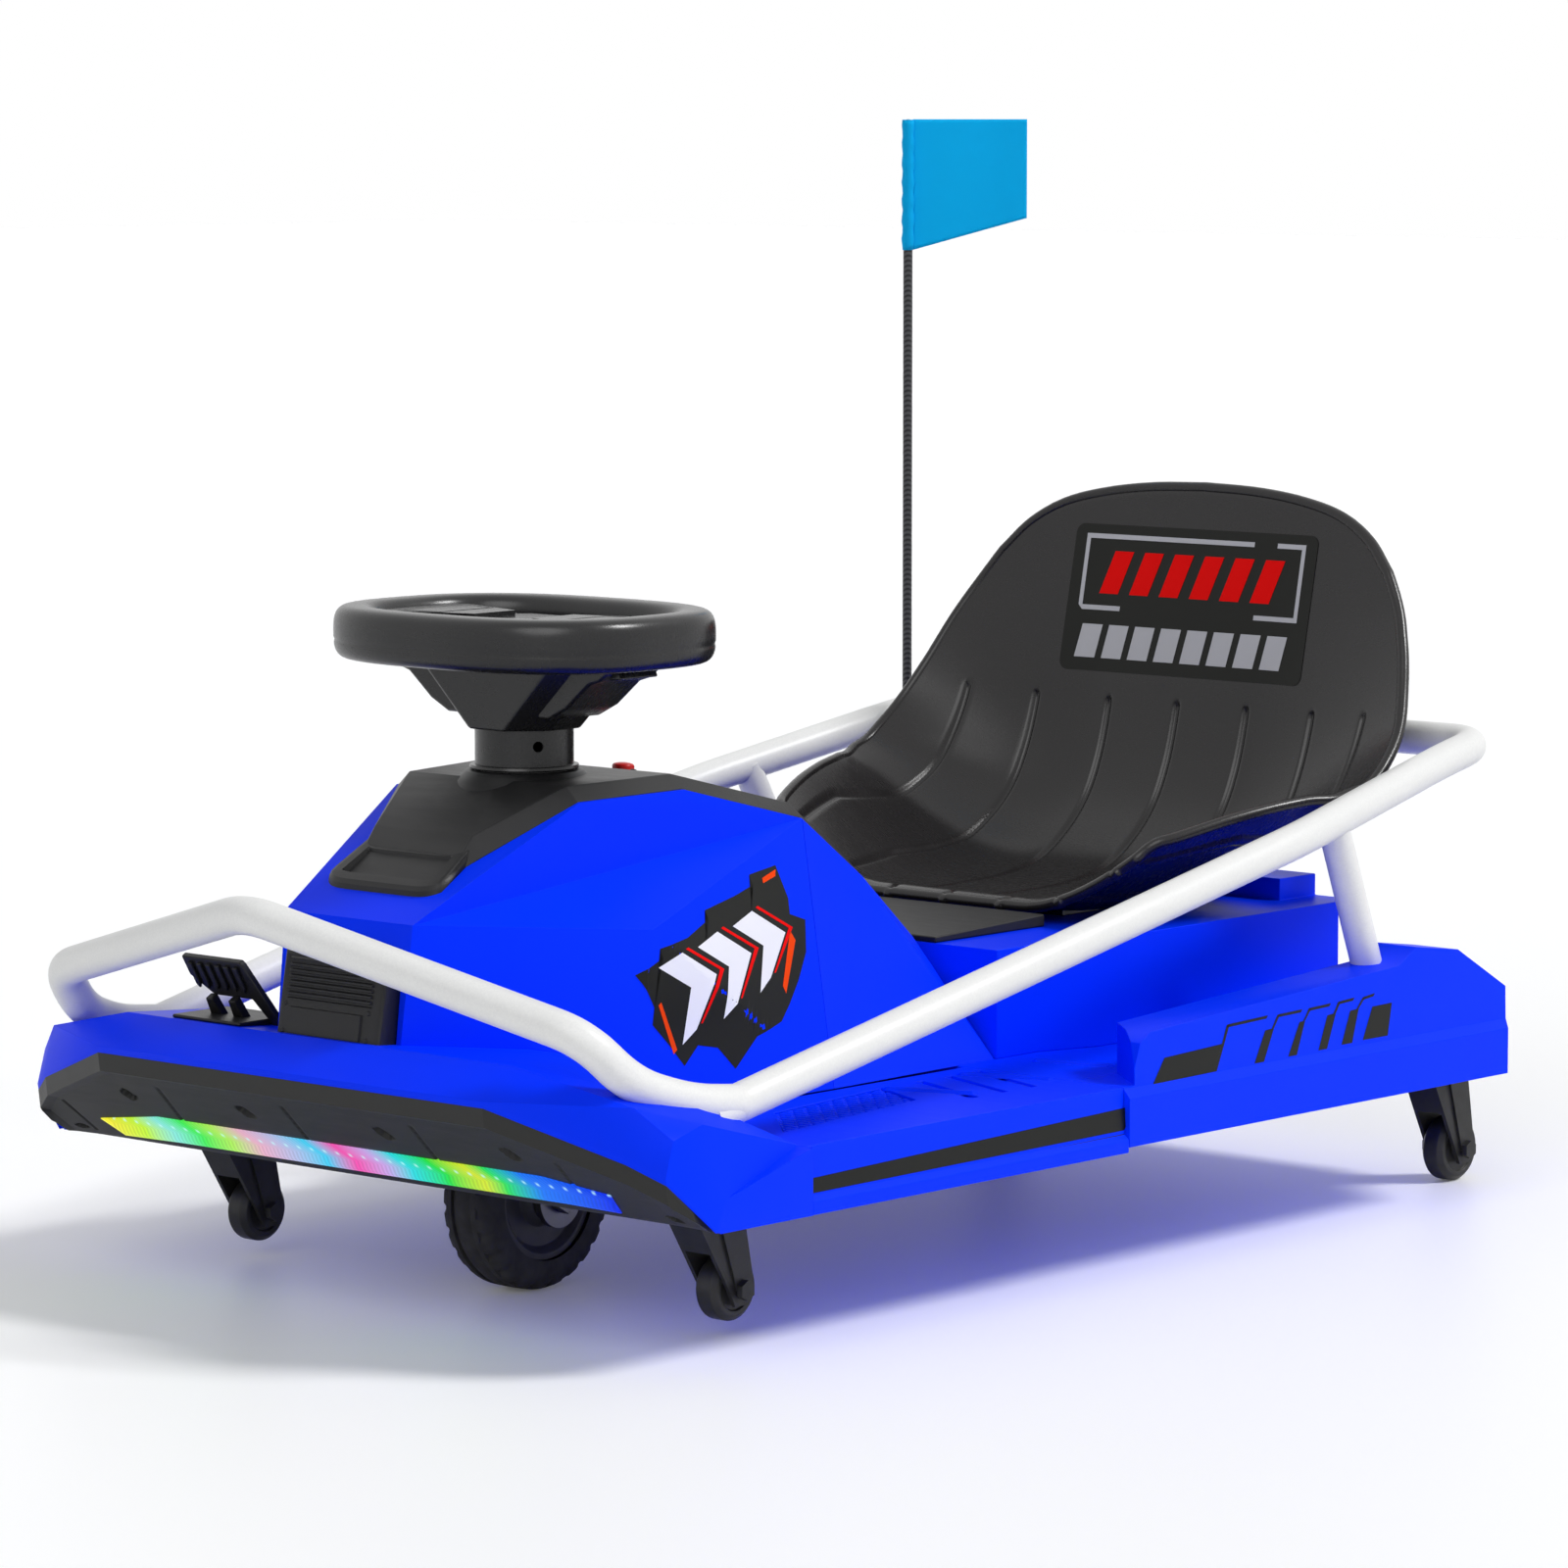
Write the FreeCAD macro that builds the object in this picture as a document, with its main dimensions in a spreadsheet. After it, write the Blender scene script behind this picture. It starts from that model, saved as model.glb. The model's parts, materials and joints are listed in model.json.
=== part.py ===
import FreeCAD, Part
import Sketcher
import math
import os

from FreeCAD import Placement, Rotation, Vector

# Electric drift kart for a child, in millimetres. +Z is up, the front is -Y and the
# driver's left is +X. The origin is on the floor below the middle of the overall box.
# Lengths along Y are measured from the steering axis, and the kart is moved at the end.

SIZES = {
    # overall
    "rear_reach": 885.0,
    "half_width": 340.0,
    "keel_height": 102.0,
    "board_height": 151.0,
    # drive wheel
    "drive_dia": 142.0,
    "drive_width": 48.0,
    "drive_shoulder": 14.0,
    "drive_core_dia": 96.0,
    "drive_rim_lip": 5.0,
    "drive_dish_depth": 9.0,
    "drive_boss_dia": 46.0,
    "drive_axle_dia": 12.0,
    "drive_bore_gap": 0.05,
    # fork and steering head
    "fork_gap": 6.0,
    "fork_leg_thick": 6.0,
    "fork_leg_width": 44.0,
    "fork_crown_thick": 10.0,
    "fork_crown_gap": 10.0,
    "shaft_dia": 30.0,
    "shaft_bore_gap": 0.08,
    "well_dia": 190.0,
    "bridge_gap": 8.0,
    "bridge_thick": 6.0,
    "bridge_width": 60.0,
    "bridge_seat": 14.0,
    "head_wall": 7.0,
    "head_top": 350.0,
    # column and steering wheel
    "column_dia": 74.0,
    "column_wall": 4.0,
    "column_foot_height": 392.0,
    "column_hole_dia": 8.0,
    "column_clearance": 5.0,
    "boss_height": 424.0,
    "boss_half_width": 92.0,
    "boss_half_depth": 43.0,
    "steer_height": 494.0,
    "steer_half_width": 146.0,
    "steer_half_depth": 115.0,
    "steer_corner": 62.0,
    "grip_width": 32.0,
    "grip_height": 40.0,
    "grip_bevel": 9.0,
    "pad_thick": 9.0,
    "pad_half_depth": 44.0,
    # casters
    "caster_front_half_track": 244.0,
    "caster_front_wheel_place": -47.0,
    "caster_front_lift": 13.0,
    "caster_front_dia": 48.0,
    "caster_rear_half_track": 239.0,
    "caster_rear_wheel_place": 852.0,
    "caster_rear_lift": 0.0,
    "caster_rear_dia": 54.0,
    "caster_trail": 20.0,
    "caster_wheel_width": 21.0,
    "caster_tread_bevel": 4.0,
    "caster_fork_gap": 1.5,
    "caster_leg_thick": 3.5,
    "caster_rib": 2.0,
    "caster_axle_dia": 8.0,
    "caster_nut_thick": 5.0,
    "caster_bore_gap": 0.05,
    "caster_tread_gap": 5.0,
    "caster_head_dia": 46.0,
    "caster_head_thick": 7.0,
    "caster_head_gap": 1.0,
    "caster_stem_dia": 11.0,
    "caster_stem_rise": 30.0,
    "stem_bore_gap": 0.05,
    # floor, foot boards and pods
    "floor_front": -60.0,
    "floor_thick": 37.0,
    "board_inner": 178.0,
    "board_outer": 320.0,
    "board_rear": 300.0,
    "board_thick": 12.0,
    "board_seam": 0.4,
    "grip_recess": 3.0,
    "sill_top_half": 334.0,
    "sill_step": 10.0,
    "tread_groove": 2.0,
    "tread_groove_width": 9.0,
    "tread_groove_pitch": 34.0,
    "pod_inner": 285.0,
    "pod_top_half": 330.0,
    "pod_ledge": 143.0,
    "pod_ledge_rise": 7.0,
    "pod_end": 790.0,
    "pod_end_bevel": 44.0,
    "deck_front": 795.0,
    "deck_height": 150.0,
    "deck_rear_half": 238.0,
    # seat base and what it holds
    "base_height": 236.0,
    "base_front": 346.0,
    "base_rear": 786.0,
    "base_half": 190.0,
    "base_front_half": 172.0,
    "riser_height": 254.0,
    "riser_front": 735.0,
    "riser_half": 150.0,
    "panel_half": 110.0,
    "panel_rear": 480.0,
    "panel_front_thick": 5.0,
    "panel_rear_thick": 10.0,
    "battery_place": 470.0,
    "battery_length": 180.0,
    "battery_width": 150.0,
    "battery_height": 78.0,
    # hood
    "hood_wall": 4.0,
    "hood_seam": 0.8,
    "cover_edge": 2.0,
    "cover_bevel": 12.0,
    "cover_rise": 11.0,
    # nose
    "lip_depth": 9.0,
    "lip_thick": 5.0,
    "fascia_bevel": 12.0,
    "fascia_thick": 8.0,
    "lamp_half": 268.0,
    "lamp_low": 121.0,
    "lamp_height": 19.0,
    "lamp_slant": 8.0,
    "vent_half": 60.0,
    "vent_thick": 14.0,
    "vent_height": 56.0,
    "vent_lean": 10.0,
    "vent_slot": 4.0,
    "vent_slot_depth": 3.0,
    "vent_slot_pitch": 8.0,
    "pedal_width": 58.0,
    "pedal_thick": 6.0,
    "pedal_height": 48.0,
    "pedal_lean": 30.0,
    "pedal_slot": 4.0,
    "pedal_slot_pitch": 9.0,
    # bent tubes
    "guard_apex_reach": 288.0,
    "guard_apex_height": 312.0,
    "guard_bend": 45.0,
    "tube_dia": 28.0,
    "rear_tube_place": 827.0,
    "rear_tube_height": 368.0,
    "rear_tube_half": 283.0,
    "rear_bend": 60.0,
    "rail_bend": 300.0,
    "post_dia": 25.0,
    # flag
    "flag_pole_dia": 8.0,
    "flag_pole_foot": 356.0,
    "flag_pole_top": 872.0,
    "flag_pole_half_track": 286.0,
    "flag_pole_place": 775.0,
    "flag_height": 92.0,
    "flag_length": 98.0,
    "flag_thick": 1.6,
    "flag_turn": 41.6,
    # seat
    "seat_wall": 6.0,
    "seat_flat": 80.0,
    "seat_groove_width": 7.0,
    "seat_groove_depth": 2.5,
    "bracket_half": 80.0,
    "bracket_front": 540.0,
    "bracket_length": 100.0,
}

doc = FreeCAD.newDocument("drift_kart")
sheet = doc.addObject("Spreadsheet::Sheet", "sizes")
for row, (alias, number) in enumerate(SIZES.items(), start=1):
    sheet.set("A%d" % row, alias)
    sheet.set("B%d" % row, "%r" % number)
    sheet.setAlias("B%d" % row, alias)
doc.recompute()


class Length:
    """A number together with the formula on the sheet's cells that gives it."""

    def __init__(self, number, formula):
        self.number = number
        self.formula = formula

    def __float__(self):
        return self.number

    def __add__(self, other):
        return Length(self.number + float(other), "(%s + %s)" % (self.formula, written(other)))

    def __sub__(self, other):
        return Length(self.number - float(other), "(%s - %s)" % (self.formula, written(other)))

    def __rsub__(self, other):
        return Length(float(other) - self.number, "(%s - %s)" % (written(other), self.formula))

    def __mul__(self, other):
        return Length(self.number * float(other), "(%s * %s)" % (self.formula, written(other)))

    def __truediv__(self, other):
        return Length(self.number / float(other), "(%s / %s)" % (self.formula, written(other)))

    def __neg__(self):
        return Length(-self.number, "(0 - %s)" % self.formula)

    __radd__ = __add__
    __rmul__ = __mul__


def written(value):
    """Write a length or a plain number as a formula."""
    return value.formula if isinstance(value, Length) else repr(float(value))


def size(alias):
    """Give the length that the sheet holds under a name."""
    return Length(float(sheet.get(alias)), "sizes." + alias)


nodes = {}


def keep(label, thing):
    """Name a finished object as a node of the kart."""
    thing.Label = label
    nodes[label] = thing
    return thing


def follow(thing, **values):
    """Bind an object's properties to the sheet."""
    for name, value in values.items():
        thing.setExpression(name, written(value))
    return thing


# Part primitives and booleans


def put(thing, x, y, z, turn=None):
    """Place an object at a point, turned first."""
    thing.Placement = Placement(Vector(0, 0, 0), turn or Rotation())
    for axis, value in zip("xyz", (x, y, z)):
        thing.setExpression("Placement.Base." + axis, written(value))
    return thing


def block(name, x_range, y_range, z_range):
    """Make a box between two corners."""
    thing = doc.addObject("Part::Box", name)
    follow(thing, Length=x_range[1] - x_range[0], Width=y_range[1] - y_range[0], Height=z_range[1] - z_range[0])
    return put(thing, x_range[0], y_range[0], z_range[0])


ACROSS = Rotation(Vector(0, 1, 0), 90)


def pin(name, x, y, z, radius, length, turn=None):
    """Make a cylinder that starts at a point."""
    thing = follow(doc.addObject("Part::Cylinder", name), Radius=radius, Height=length)
    return put(thing, x, y, z, turn)


def nut(name, x, y, z, radius, length, turn):
    """Make a hexagon head that starts at a point."""
    thing = follow(doc.addObject("Part::Prism", name), Circumradius=radius, Height=length)
    thing.Polygon = 6
    return put(thing, x, y, z, turn)


def fused(name, things):
    """Join objects into one."""
    thing = doc.addObject("Part::MultiFuse", name)
    thing.Shapes = things
    thing.Refine = True
    return thing


def cut(name, base, tool):
    """Cut one object by another."""
    thing = doc.addObject("Part::Cut", name)
    thing.Base = base
    thing.Tool = tool
    thing.Refine = True
    return thing


def other_side(name, source):
    """Mirror an object across the kart's middle plane."""
    thing = doc.addObject("Part::Mirroring", name)
    thing.Source = source
    thing.Normal = Vector(1, 0, 0)
    return thing


# Bodies with sketches


def draw(body, name, role, corners, lift=0.0):
    """Draw a closed outline on a plane of a body, each corner held by two dimensions."""
    sketch = body.newObject("Sketcher::SketchObject", name)
    plane = [part for part in body.Origin.OriginFeatures if part.Role == role][0]
    sketch.AttachmentSupport = [(plane, "")]
    sketch.MapMode = "FlatFace"
    sketch.setExpression("AttachmentOffset.Base.z", written(lift))
    points = [Vector(across, up, 0) for across, up in corners]
    count = len(points)
    for start, end in zip(points, points[1:] + points[:1]):
        sketch.addGeometry(Part.LineSegment(start, end))
    for index in range(count):
        sketch.addConstraint(Sketcher.Constraint("Coincident", index, 2, (index + 1) % count, 1))
    for index, corner in enumerate(corners):
        for kind, value in zip(("DistanceX", "DistanceY"), corner):
            number = sketch.addConstraint(Sketcher.Constraint(kind, -1, 1, index, 1, float(value)))
            sketch.setExpression("Constraints[%d]" % number, written(value))
    return sketch


def pad(body, name, sketch, length, both_ways=False, downward=False):
    """Extrude a sketch into the body."""
    feature = body.newObject("PartDesign::Pad", name)
    feature.Profile = sketch
    follow(feature, Length=length)
    feature.SideType = "Symmetric" if both_ways else "One side"
    feature.Reversed = downward
    return feature


def pocket(body, name, sketch, length, both_ways=False):
    """Cut a sketch's extrusion out of the body."""
    feature = body.newObject("PartDesign::Pocket", name)
    feature.Profile = sketch
    follow(feature, Length=length)
    feature.SideType = "Symmetric" if both_ways else "One side"
    return feature


def row_of(body, name, feature, sketch, axis, pitch, count, backward=False):
    """Repeat a feature along a sketch's axis."""
    pattern = body.newObject("PartDesign::LinearPattern", name)
    pattern.Originals = [feature]
    pattern.Direction = (sketch, [axis])
    pattern.Mode = "Spacing"
    follow(pattern, Offset=pitch)
    pattern.Occurrences = count
    pattern.Reversed = backward
    body.Tip = pattern
    return pattern


def turned(body, name, corners):
    """Revolve an outline of places along X and radii about the body's X axis."""
    profile = draw(body, name + "_profile", "XY_Plane", corners)
    feature = body.newObject("PartDesign::Revolution", name)
    feature.Profile = profile
    feature.ReferenceAxis = (profile, ["H_Axis"])
    feature.Angle = 360
    return feature


# Shapes made by hand where neither fits


def shaped(label, shape):
    """Keep a shape as a node."""
    feature = doc.addObject("Part::Feature", label)
    feature.Shape = shape
    return keep(label, feature)


def polygon(points):
    """Make a closed wire through a list of points."""
    return Part.makePolygon(list(points) + [points[0]])


def slab(points, direction):
    """Extrude the face inside a closed outline."""
    return Part.Face(polygon(points)).extrude(direction)


def rod(start, end, radius):
    """Make a round bar between two points."""
    way = end.sub(start)
    return Part.makeCylinder(radius, way.Length, start, way)


def mirrored(shape):
    """Give the other side's copy of a shape."""
    return shape.mirror(Vector(0, 0, 0), Vector(1, 0, 0))


def flip(point):
    """Give the other side's copy of a point."""
    return Vector(-point.x, point.y, point.z)


def solid_of(faces):
    """Close flat panels into a solid."""
    solid = Part.makeSolid(Part.makeShell(faces))
    if solid.Volume < 0:
        solid.reverse()
    return solid


def panels(first, second):
    """Join two outlines of equal count by flat panels, split along the shorter way where they twist."""
    faces = []
    count = len(first)
    for index in range(count):
        after = (index + 1) % count
        corners = [first[index], first[after], second[after], second[index]]
        normal = (corners[1] - corners[0]).cross(corners[3] - corners[0])
        if normal.Length and abs((corners[2] - corners[0]).dot(normal.normalize())) < 1e-6:
            faces.append(Part.Face(polygon(corners)))
        elif corners[0].distanceToPoint(corners[2]) <= corners[1].distanceToPoint(corners[3]):
            faces.append(Part.Face(polygon([corners[0], corners[1], corners[2]])))
            faces.append(Part.Face(polygon([corners[0], corners[2], corners[3]])))
        else:
            faces.append(Part.Face(polygon([corners[0], corners[1], corners[3]])))
            faces.append(Part.Face(polygon([corners[1], corners[2], corners[3]])))
    return faces


def panelled(sections):
    """Join closed outlines of equal count into a solid of flat panels."""
    faces = [Part.Face(polygon(sections[0])), Part.Face(polygon(sections[-1]))]
    for first, second in zip(sections, sections[1:]):
        faces += panels(first, second)
    return solid_of(faces)


def bent_path(points, radius):
    """Join points by straight runs with an arc of one radius at each bend."""
    edges = []
    start = points[0]
    for before, corner, after in zip(points, points[1:], points[2:]):
        back = before.sub(corner).normalize()
        ahead = after.sub(corner).normalize()
        half_turn = back.getAngle(ahead) / 2
        setback = float(radius) / math.tan(half_turn)
        enter = corner.add(back * setback)
        leave = corner.add(ahead * setback)
        inward = back.add(ahead).normalize()
        middle = corner.add(inward * (float(radius) / math.sin(half_turn) - float(radius)))
        edges.append(Part.LineSegment(start, enter).toShape())
        edges.append(Part.Arc(enter, middle, leave).toShape())
        start = leave
    edges.append(Part.LineSegment(start, points[-1]).toShape())
    return Part.Wire(edges)


def tube(points, radius, bend):
    """Sweep a round bar along a bent path."""
    path = bent_path(points, bend)
    way = points[1].sub(points[0])
    ring = Part.Wire(Part.makeCircle(radius, points[0], way))
    return path.makePipeShell([ring], True, False, 2)


# Drive wheel, fork and steering head


def drive_wheel():
    """Make the tyre with its bevelled shoulders, and the dished hub that fills it."""
    radius = size("drive_dia") / 2
    half = size("drive_width") / 2
    core = size("drive_core_dia") / 2
    shoulder = size("drive_shoulder")
    round_in = 1 - math.cos(math.pi / 4)
    side = [(half, core), (half, radius - shoulder),
            (half - shoulder * round_in, radius - shoulder * round_in), (half - shoulder, radius)]
    tyre = doc.addObject("PartDesign::Body", "tyre_body")
    turned(tyre, "tyre_turn", side + [(-across, up) for across, up in side[::-1]])
    tyre.Placement = Placement(Vector(0, 0, radius), Rotation())
    keep("drive_tyre", tyre)

    dish = size("drive_dish_depth")
    boss = size("drive_boss_dia") / 2
    bore = size("drive_axle_dia") / 2 + size("drive_bore_gap")
    face = [(half, bore), (half, boss - dish / 2), (half - dish, boss),
            (half - dish, core - size("drive_rim_lip") * 2), (half - dish / 3, core - size("drive_rim_lip")),
            (half - dish / 3, core)]
    hub = doc.addObject("PartDesign::Body", "hub_body")
    turned(hub, "hub_turn", face + [(-across, up) for across, up in face[::-1]])
    hub.Placement = Placement(Vector(0, 0, radius), Rotation())
    keep("drive_hub", hub)


FORK_INNER = size("drive_width") / 2 + size("fork_gap")
FORK_OUTER = FORK_INNER + size("fork_leg_thick")
CROWN_LOW = size("drive_dia") + size("fork_crown_gap")
CROWN_HIGH = CROWN_LOW + size("fork_crown_thick")


def steering_fork():
    """Make the fork over the drive wheel with the shaft that turns it, and its axle."""
    axle_height = size("drive_dia") / 2
    axle = size("drive_axle_dia") / 2
    half_leg = size("fork_leg_width") / 2
    thick = size("fork_leg_thick")
    things = [block("fork_crown", (-FORK_OUTER, FORK_OUTER), (-half_leg, half_leg), (CROWN_LOW, CROWN_HIGH))]
    for name, inner in (("left", FORK_INNER), ("right", -FORK_OUTER)):
        things.append(block("fork_leg_" + name, (inner, inner + thick), (-half_leg, half_leg),
                            (axle_height, CROWN_HIGH)))
        things.append(pin("fork_eye_" + name, inner, 0, axle_height, half_leg, thick, ACROSS))
    shaft_top = size("column_foot_height") - size("column_wall")
    things.append(pin("fork_shaft", 0, 0, CROWN_LOW, size("shaft_dia") / 2, shaft_top - CROWN_LOW))
    hole = pin("fork_hole", -FORK_OUTER, 0, axle_height, axle, FORK_OUTER * 2, ACROSS)
    keep("steering_fork", cut("fork_bored", fused("fork_whole", things), hole))
    head = axle * 1.8
    keep("drive_axle", fused("axle_whole", [
        pin("axle_bar", -FORK_OUTER, 0, axle_height, axle, FORK_OUTER * 2, ACROSS),
        nut("axle_nut_left", FORK_OUTER, 0, axle_height, head, axle * 1.4, ACROSS),
        nut("axle_nut_right", -FORK_OUTER, 0, axle_height, head, axle * 1.4,
            Rotation(Vector(0, 1, 0), -90)),
    ]))


def steering_head():
    """Make the bridge over the wheel well with the tube that the shaft turns in."""
    low = CROWN_HIGH + size("bridge_gap")
    thick = size("bridge_thick")
    half = size("bridge_width") / 2
    reach = size("well_dia") / 2 + size("bridge_seat")
    foot = size("keel_height") + size("floor_thick")
    leg = size("bridge_seat") * 0.6
    things = [
        block("bridge_plate", (-reach, reach), (-half, half), (low, low + thick)),
        block("bridge_leg_left", (reach - leg, reach), (-half, half), (foot, low)),
        block("bridge_leg_right", (-reach, leg - reach), (-half, half), (foot, low)),
        pin("head_tube", 0, 0, low, size("shaft_dia") / 2 + size("head_wall"), size("head_top") - low),
    ]
    bore = pin("head_bore", 0, 0, low - 1, size("shaft_dia") / 2 + size("shaft_bore_gap"),
               size("head_top") - low + 2)
    keep("steering_head", cut("head_bored", fused("head_whole", things), bore))


def steering_column():
    """Make the open cup that joins the shaft to the boss, with its bolt hole."""
    radius = size("column_dia") / 2
    wall = size("column_wall")
    foot = size("column_foot_height")
    top = size("boss_height")
    hollow = pin("column_hollow", 0, 0, foot, radius - wall, top - foot + 1)
    tube_only = cut("column_tube", pin("column_bar", 0, 0, foot - wall, radius, top - foot + wall), hollow)
    toward = Rotation(Vector(0, 0, 1), Vector(math.cos(math.radians(-30)), math.sin(math.radians(-30)), 0))
    hole = pin("column_hole", 0, 0, (foot + top) / 2 + size("column_hole_dia") / 2,
               size("column_hole_dia") / 2, radius + wall, toward)
    keep("steering_column", cut("column_bored", tube_only, hole))


# Steering wheel


def octagon(half_wide, half_deep, corner, height):
    """Give the corners of a rectangle with bevelled corners at a height."""
    wide, deep = float(half_wide), float(half_deep)
    inner_wide, inner_deep = wide - float(corner), deep - float(corner)
    return [Vector(x, y, height) for x, y in (
        (wide, -inner_deep), (wide, inner_deep), (inner_wide, deep), (-inner_wide, deep),
        (-wide, inner_deep), (-wide, -inner_deep), (-inner_wide, -deep), (inner_wide, -deep))]


def steering_wheel():
    """Make the flared boss, the rim of bevelled section and the two padded spokes."""
    radius = size("column_dia") / 2 + size("column_wall")
    steer = size("steer_height")
    low = steer - size("grip_height") / 2
    regular = 1 - math.tan(math.pi / 8)
    flare = size("boss_half_depth")
    boss = panelled([
        octagon(radius, radius, radius * regular, size("boss_height")),
        octagon(size("boss_half_width"), flare, flare * regular, low),
    ])
    shaped("steering_boss", boss)

    middle_wide = float(size("steer_half_width") - size("grip_width") / 2)
    middle_deep = float(size("steer_half_depth") - size("grip_width") / 2)
    corners = octagon(middle_wide, middle_deep, size("steer_corner"), steer)
    start = (corners[0] + corners[1]) * 0.5
    path = bent_path([start] + corners[1:] + corners[:1] + [start], 34.0)
    half_grip, half_tall, bevel = [float(length) for length in (
        size("grip_width") / 2, size("grip_height") / 2, size("grip_bevel"))]
    section = polygon([start + Vector(across, 0, up) for across, up in (
        (half_grip, bevel - half_tall), (half_grip, half_tall - bevel), (half_grip - bevel, half_tall),
        (bevel - half_grip, half_tall), (-half_grip, half_tall - bevel), (-half_grip, bevel - half_tall),
        (bevel - half_grip, -half_tall), (half_grip - bevel, -half_tall))])
    rim = path.makePipeShell([section], True, False, 2)
    shaped("steering_rim", rim)

    top = float(steer) + half_tall - 6
    pad_low = float(low)
    half_pad = float(size("pad_half_depth"))
    pads = []
    for side in (-1, 1):
        half_outline = [(30, half_pad * 0.5), (middle_wide - 26, half_pad), (middle_wide - 4, half_pad - 10)]
        outline = [Vector(side * x, y, top) for x, y in half_outline]
        outline += [Vector(side * x, -y, top) for x, y in half_outline[::-1]]
        pads.append(slab(outline, Vector(0, 0, -float(size("pad_thick")))))
    centre = slab(octagon(52, 44, 18, pad_low), Vector(0, 0, top - pad_low - 4))
    spokes = centre.fuse(pads).cut(rim).removeSplitter()
    shaped("steering_spokes", spokes)


# Casters

CASTERS = (
    # name, side, end
    ("front_left", 1, "caster_front_"),
    ("front_right", -1, "caster_front_"),
    ("rear_left", 1, "caster_rear_"),
    ("rear_right", -1, "caster_rear_"),
)


def caster(name, side, end):
    """Make one swivel caster about its own pivot: the forked holder with its stem, and the wheel."""
    radius = size(end + "dia") / 2
    axle_height = size(end + "lift") + radius
    half = size("caster_wheel_width") / 2
    inner = half + size("caster_fork_gap")
    outer = inner + size("caster_leg_thick")
    trail = size("caster_trail")
    head = size("caster_head_dia") / 2
    high = size("keel_height") - size("caster_head_gap")
    disc = size("caster_head_thick")
    low = axle_height + radius + size("caster_tread_gap")
    eye = size("caster_axle_dia") * 1.5

    fork = doc.addObject("PartDesign::Body", "caster_body_" + name)
    rib = draw(fork, "rib_outline_" + name, "YZ_Plane", [
        (-eye / 2, high - disc), (trail - eye / 2, axle_height), (trail, axle_height - eye / 2),
        (trail + eye / 2, axle_height), (head - eye / 2, high - disc)])
    pad(fork, "ribs_" + name, rib, (outer + size("caster_rib")) * 2, both_ways=True)
    legs = draw(fork, "leg_outline_" + name, "YZ_Plane", [
        (-head, high - disc), (-head, high - disc * 2), (trail - eye, axle_height), (trail - eye / 2, axle_height - eye),
        (trail + eye / 2, axle_height - eye), (trail + eye, axle_height - eye / 2), (trail + eye, axle_height + eye),
        (head, high - disc)])
    pad(fork, "legs_" + name, legs, outer * 2, both_ways=True)
    slot = draw(fork, "slot_outline_" + name, "XZ_Plane", [
        (-inner, axle_height - eye * 2), (inner, axle_height - eye * 2), (inner, low), (-inner, low)])
    pocket(fork, "slot_" + name, slot, (head + trail) * 4, both_ways=True)

    axle = size("caster_axle_dia") / 2
    reach = outer + size("caster_rib")
    nut_thick = size("caster_nut_thick")
    whole = fused("caster_whole_" + name, [
        fork,
        pin("caster_disc_" + name, 0, 0, high - disc, head, disc),
        pin("caster_stem_" + name, 0, 0, high - disc, size("caster_stem_dia") / 2,
            disc + size("caster_head_gap") + size("caster_stem_rise")),
        pin("caster_axle_" + name, -reach, trail, axle_height, axle, reach * 2, ACROSS),
        nut("caster_nut_out_" + name, reach, trail, axle_height, axle * 1.9, nut_thick, ACROSS),
        nut("caster_nut_in_" + name, -reach, trail, axle_height, axle * 1.9, nut_thick,
            Rotation(Vector(0, 1, 0), -90)),
    ])
    pivot = Vector(side * float(size(end + "half_track")), float(size(end + "wheel_place") - trail), 0)
    whole.Placement = Placement(pivot, Rotation())
    keep("caster_fork_" + name, whole)

    wheel = doc.addObject("PartDesign::Body", "wheel_body_" + name)
    bevel = size("caster_tread_bevel")
    bore = axle + size("caster_bore_gap")
    face = [(half, bore), (half, axle * 2), (half - bevel / 2, axle * 2), (half - bevel / 2, radius - bevel * 2),
            (half, radius - bevel * 2), (half, radius - bevel), (half - bevel, radius)]
    turned(wheel, "wheel_turn_" + name, face + [(-across, up) for across, up in face[::-1]])
    wheel.Placement = Placement(pivot + Vector(0, trail, axle_height), Rotation())
    keep("caster_wheel_" + name, wheel)
    return pivot


drive_wheel()
steering_fork()
steering_head()
steering_column()
steering_wheel()
pivots = [caster(name, side, end) for name, side, end in CASTERS]


def stem_bores(name, first):
    """Make the bores that two casters turn in."""
    top = size("keel_height") + size("caster_stem_rise") + 1
    bore = size("caster_stem_dia") / 2 + size("stem_bore_gap")
    return fused(name, [pin("%s_%d" % (name, index), side * size(end + "half_track"),
                            size(end + "wheel_place") - size("caster_trail"), 0, bore, top)
                        for index, (label, side, end) in enumerate(CASTERS[first:first + 2])])


# Floor, foot boards, pods and rear deck

KEEL = size("keel_height")
BOARD = size("board_height")
HALF = size("half_width")


def floor_tray():
    """Make the tray between the nose and the rear deck, open over the drive wheel."""
    outer, inner = size("board_outer"), size("pod_inner")
    middle = size("board_rear")
    floor = fused("floor_whole", [
        block("floor_front_half", (-outer, outer), (size("floor_front"), middle), (KEEL, KEEL + size("floor_thick"))),
        block("floor_rear_half", (-inner, inner), (middle, size("deck_front")), (KEEL, BOARD)),
    ])
    well = pin("floor_well", 0, 0, 0, size("well_dia") / 2, BOARD * 2)
    keep("floor_tray", cut("floor_open", floor, well))


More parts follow.
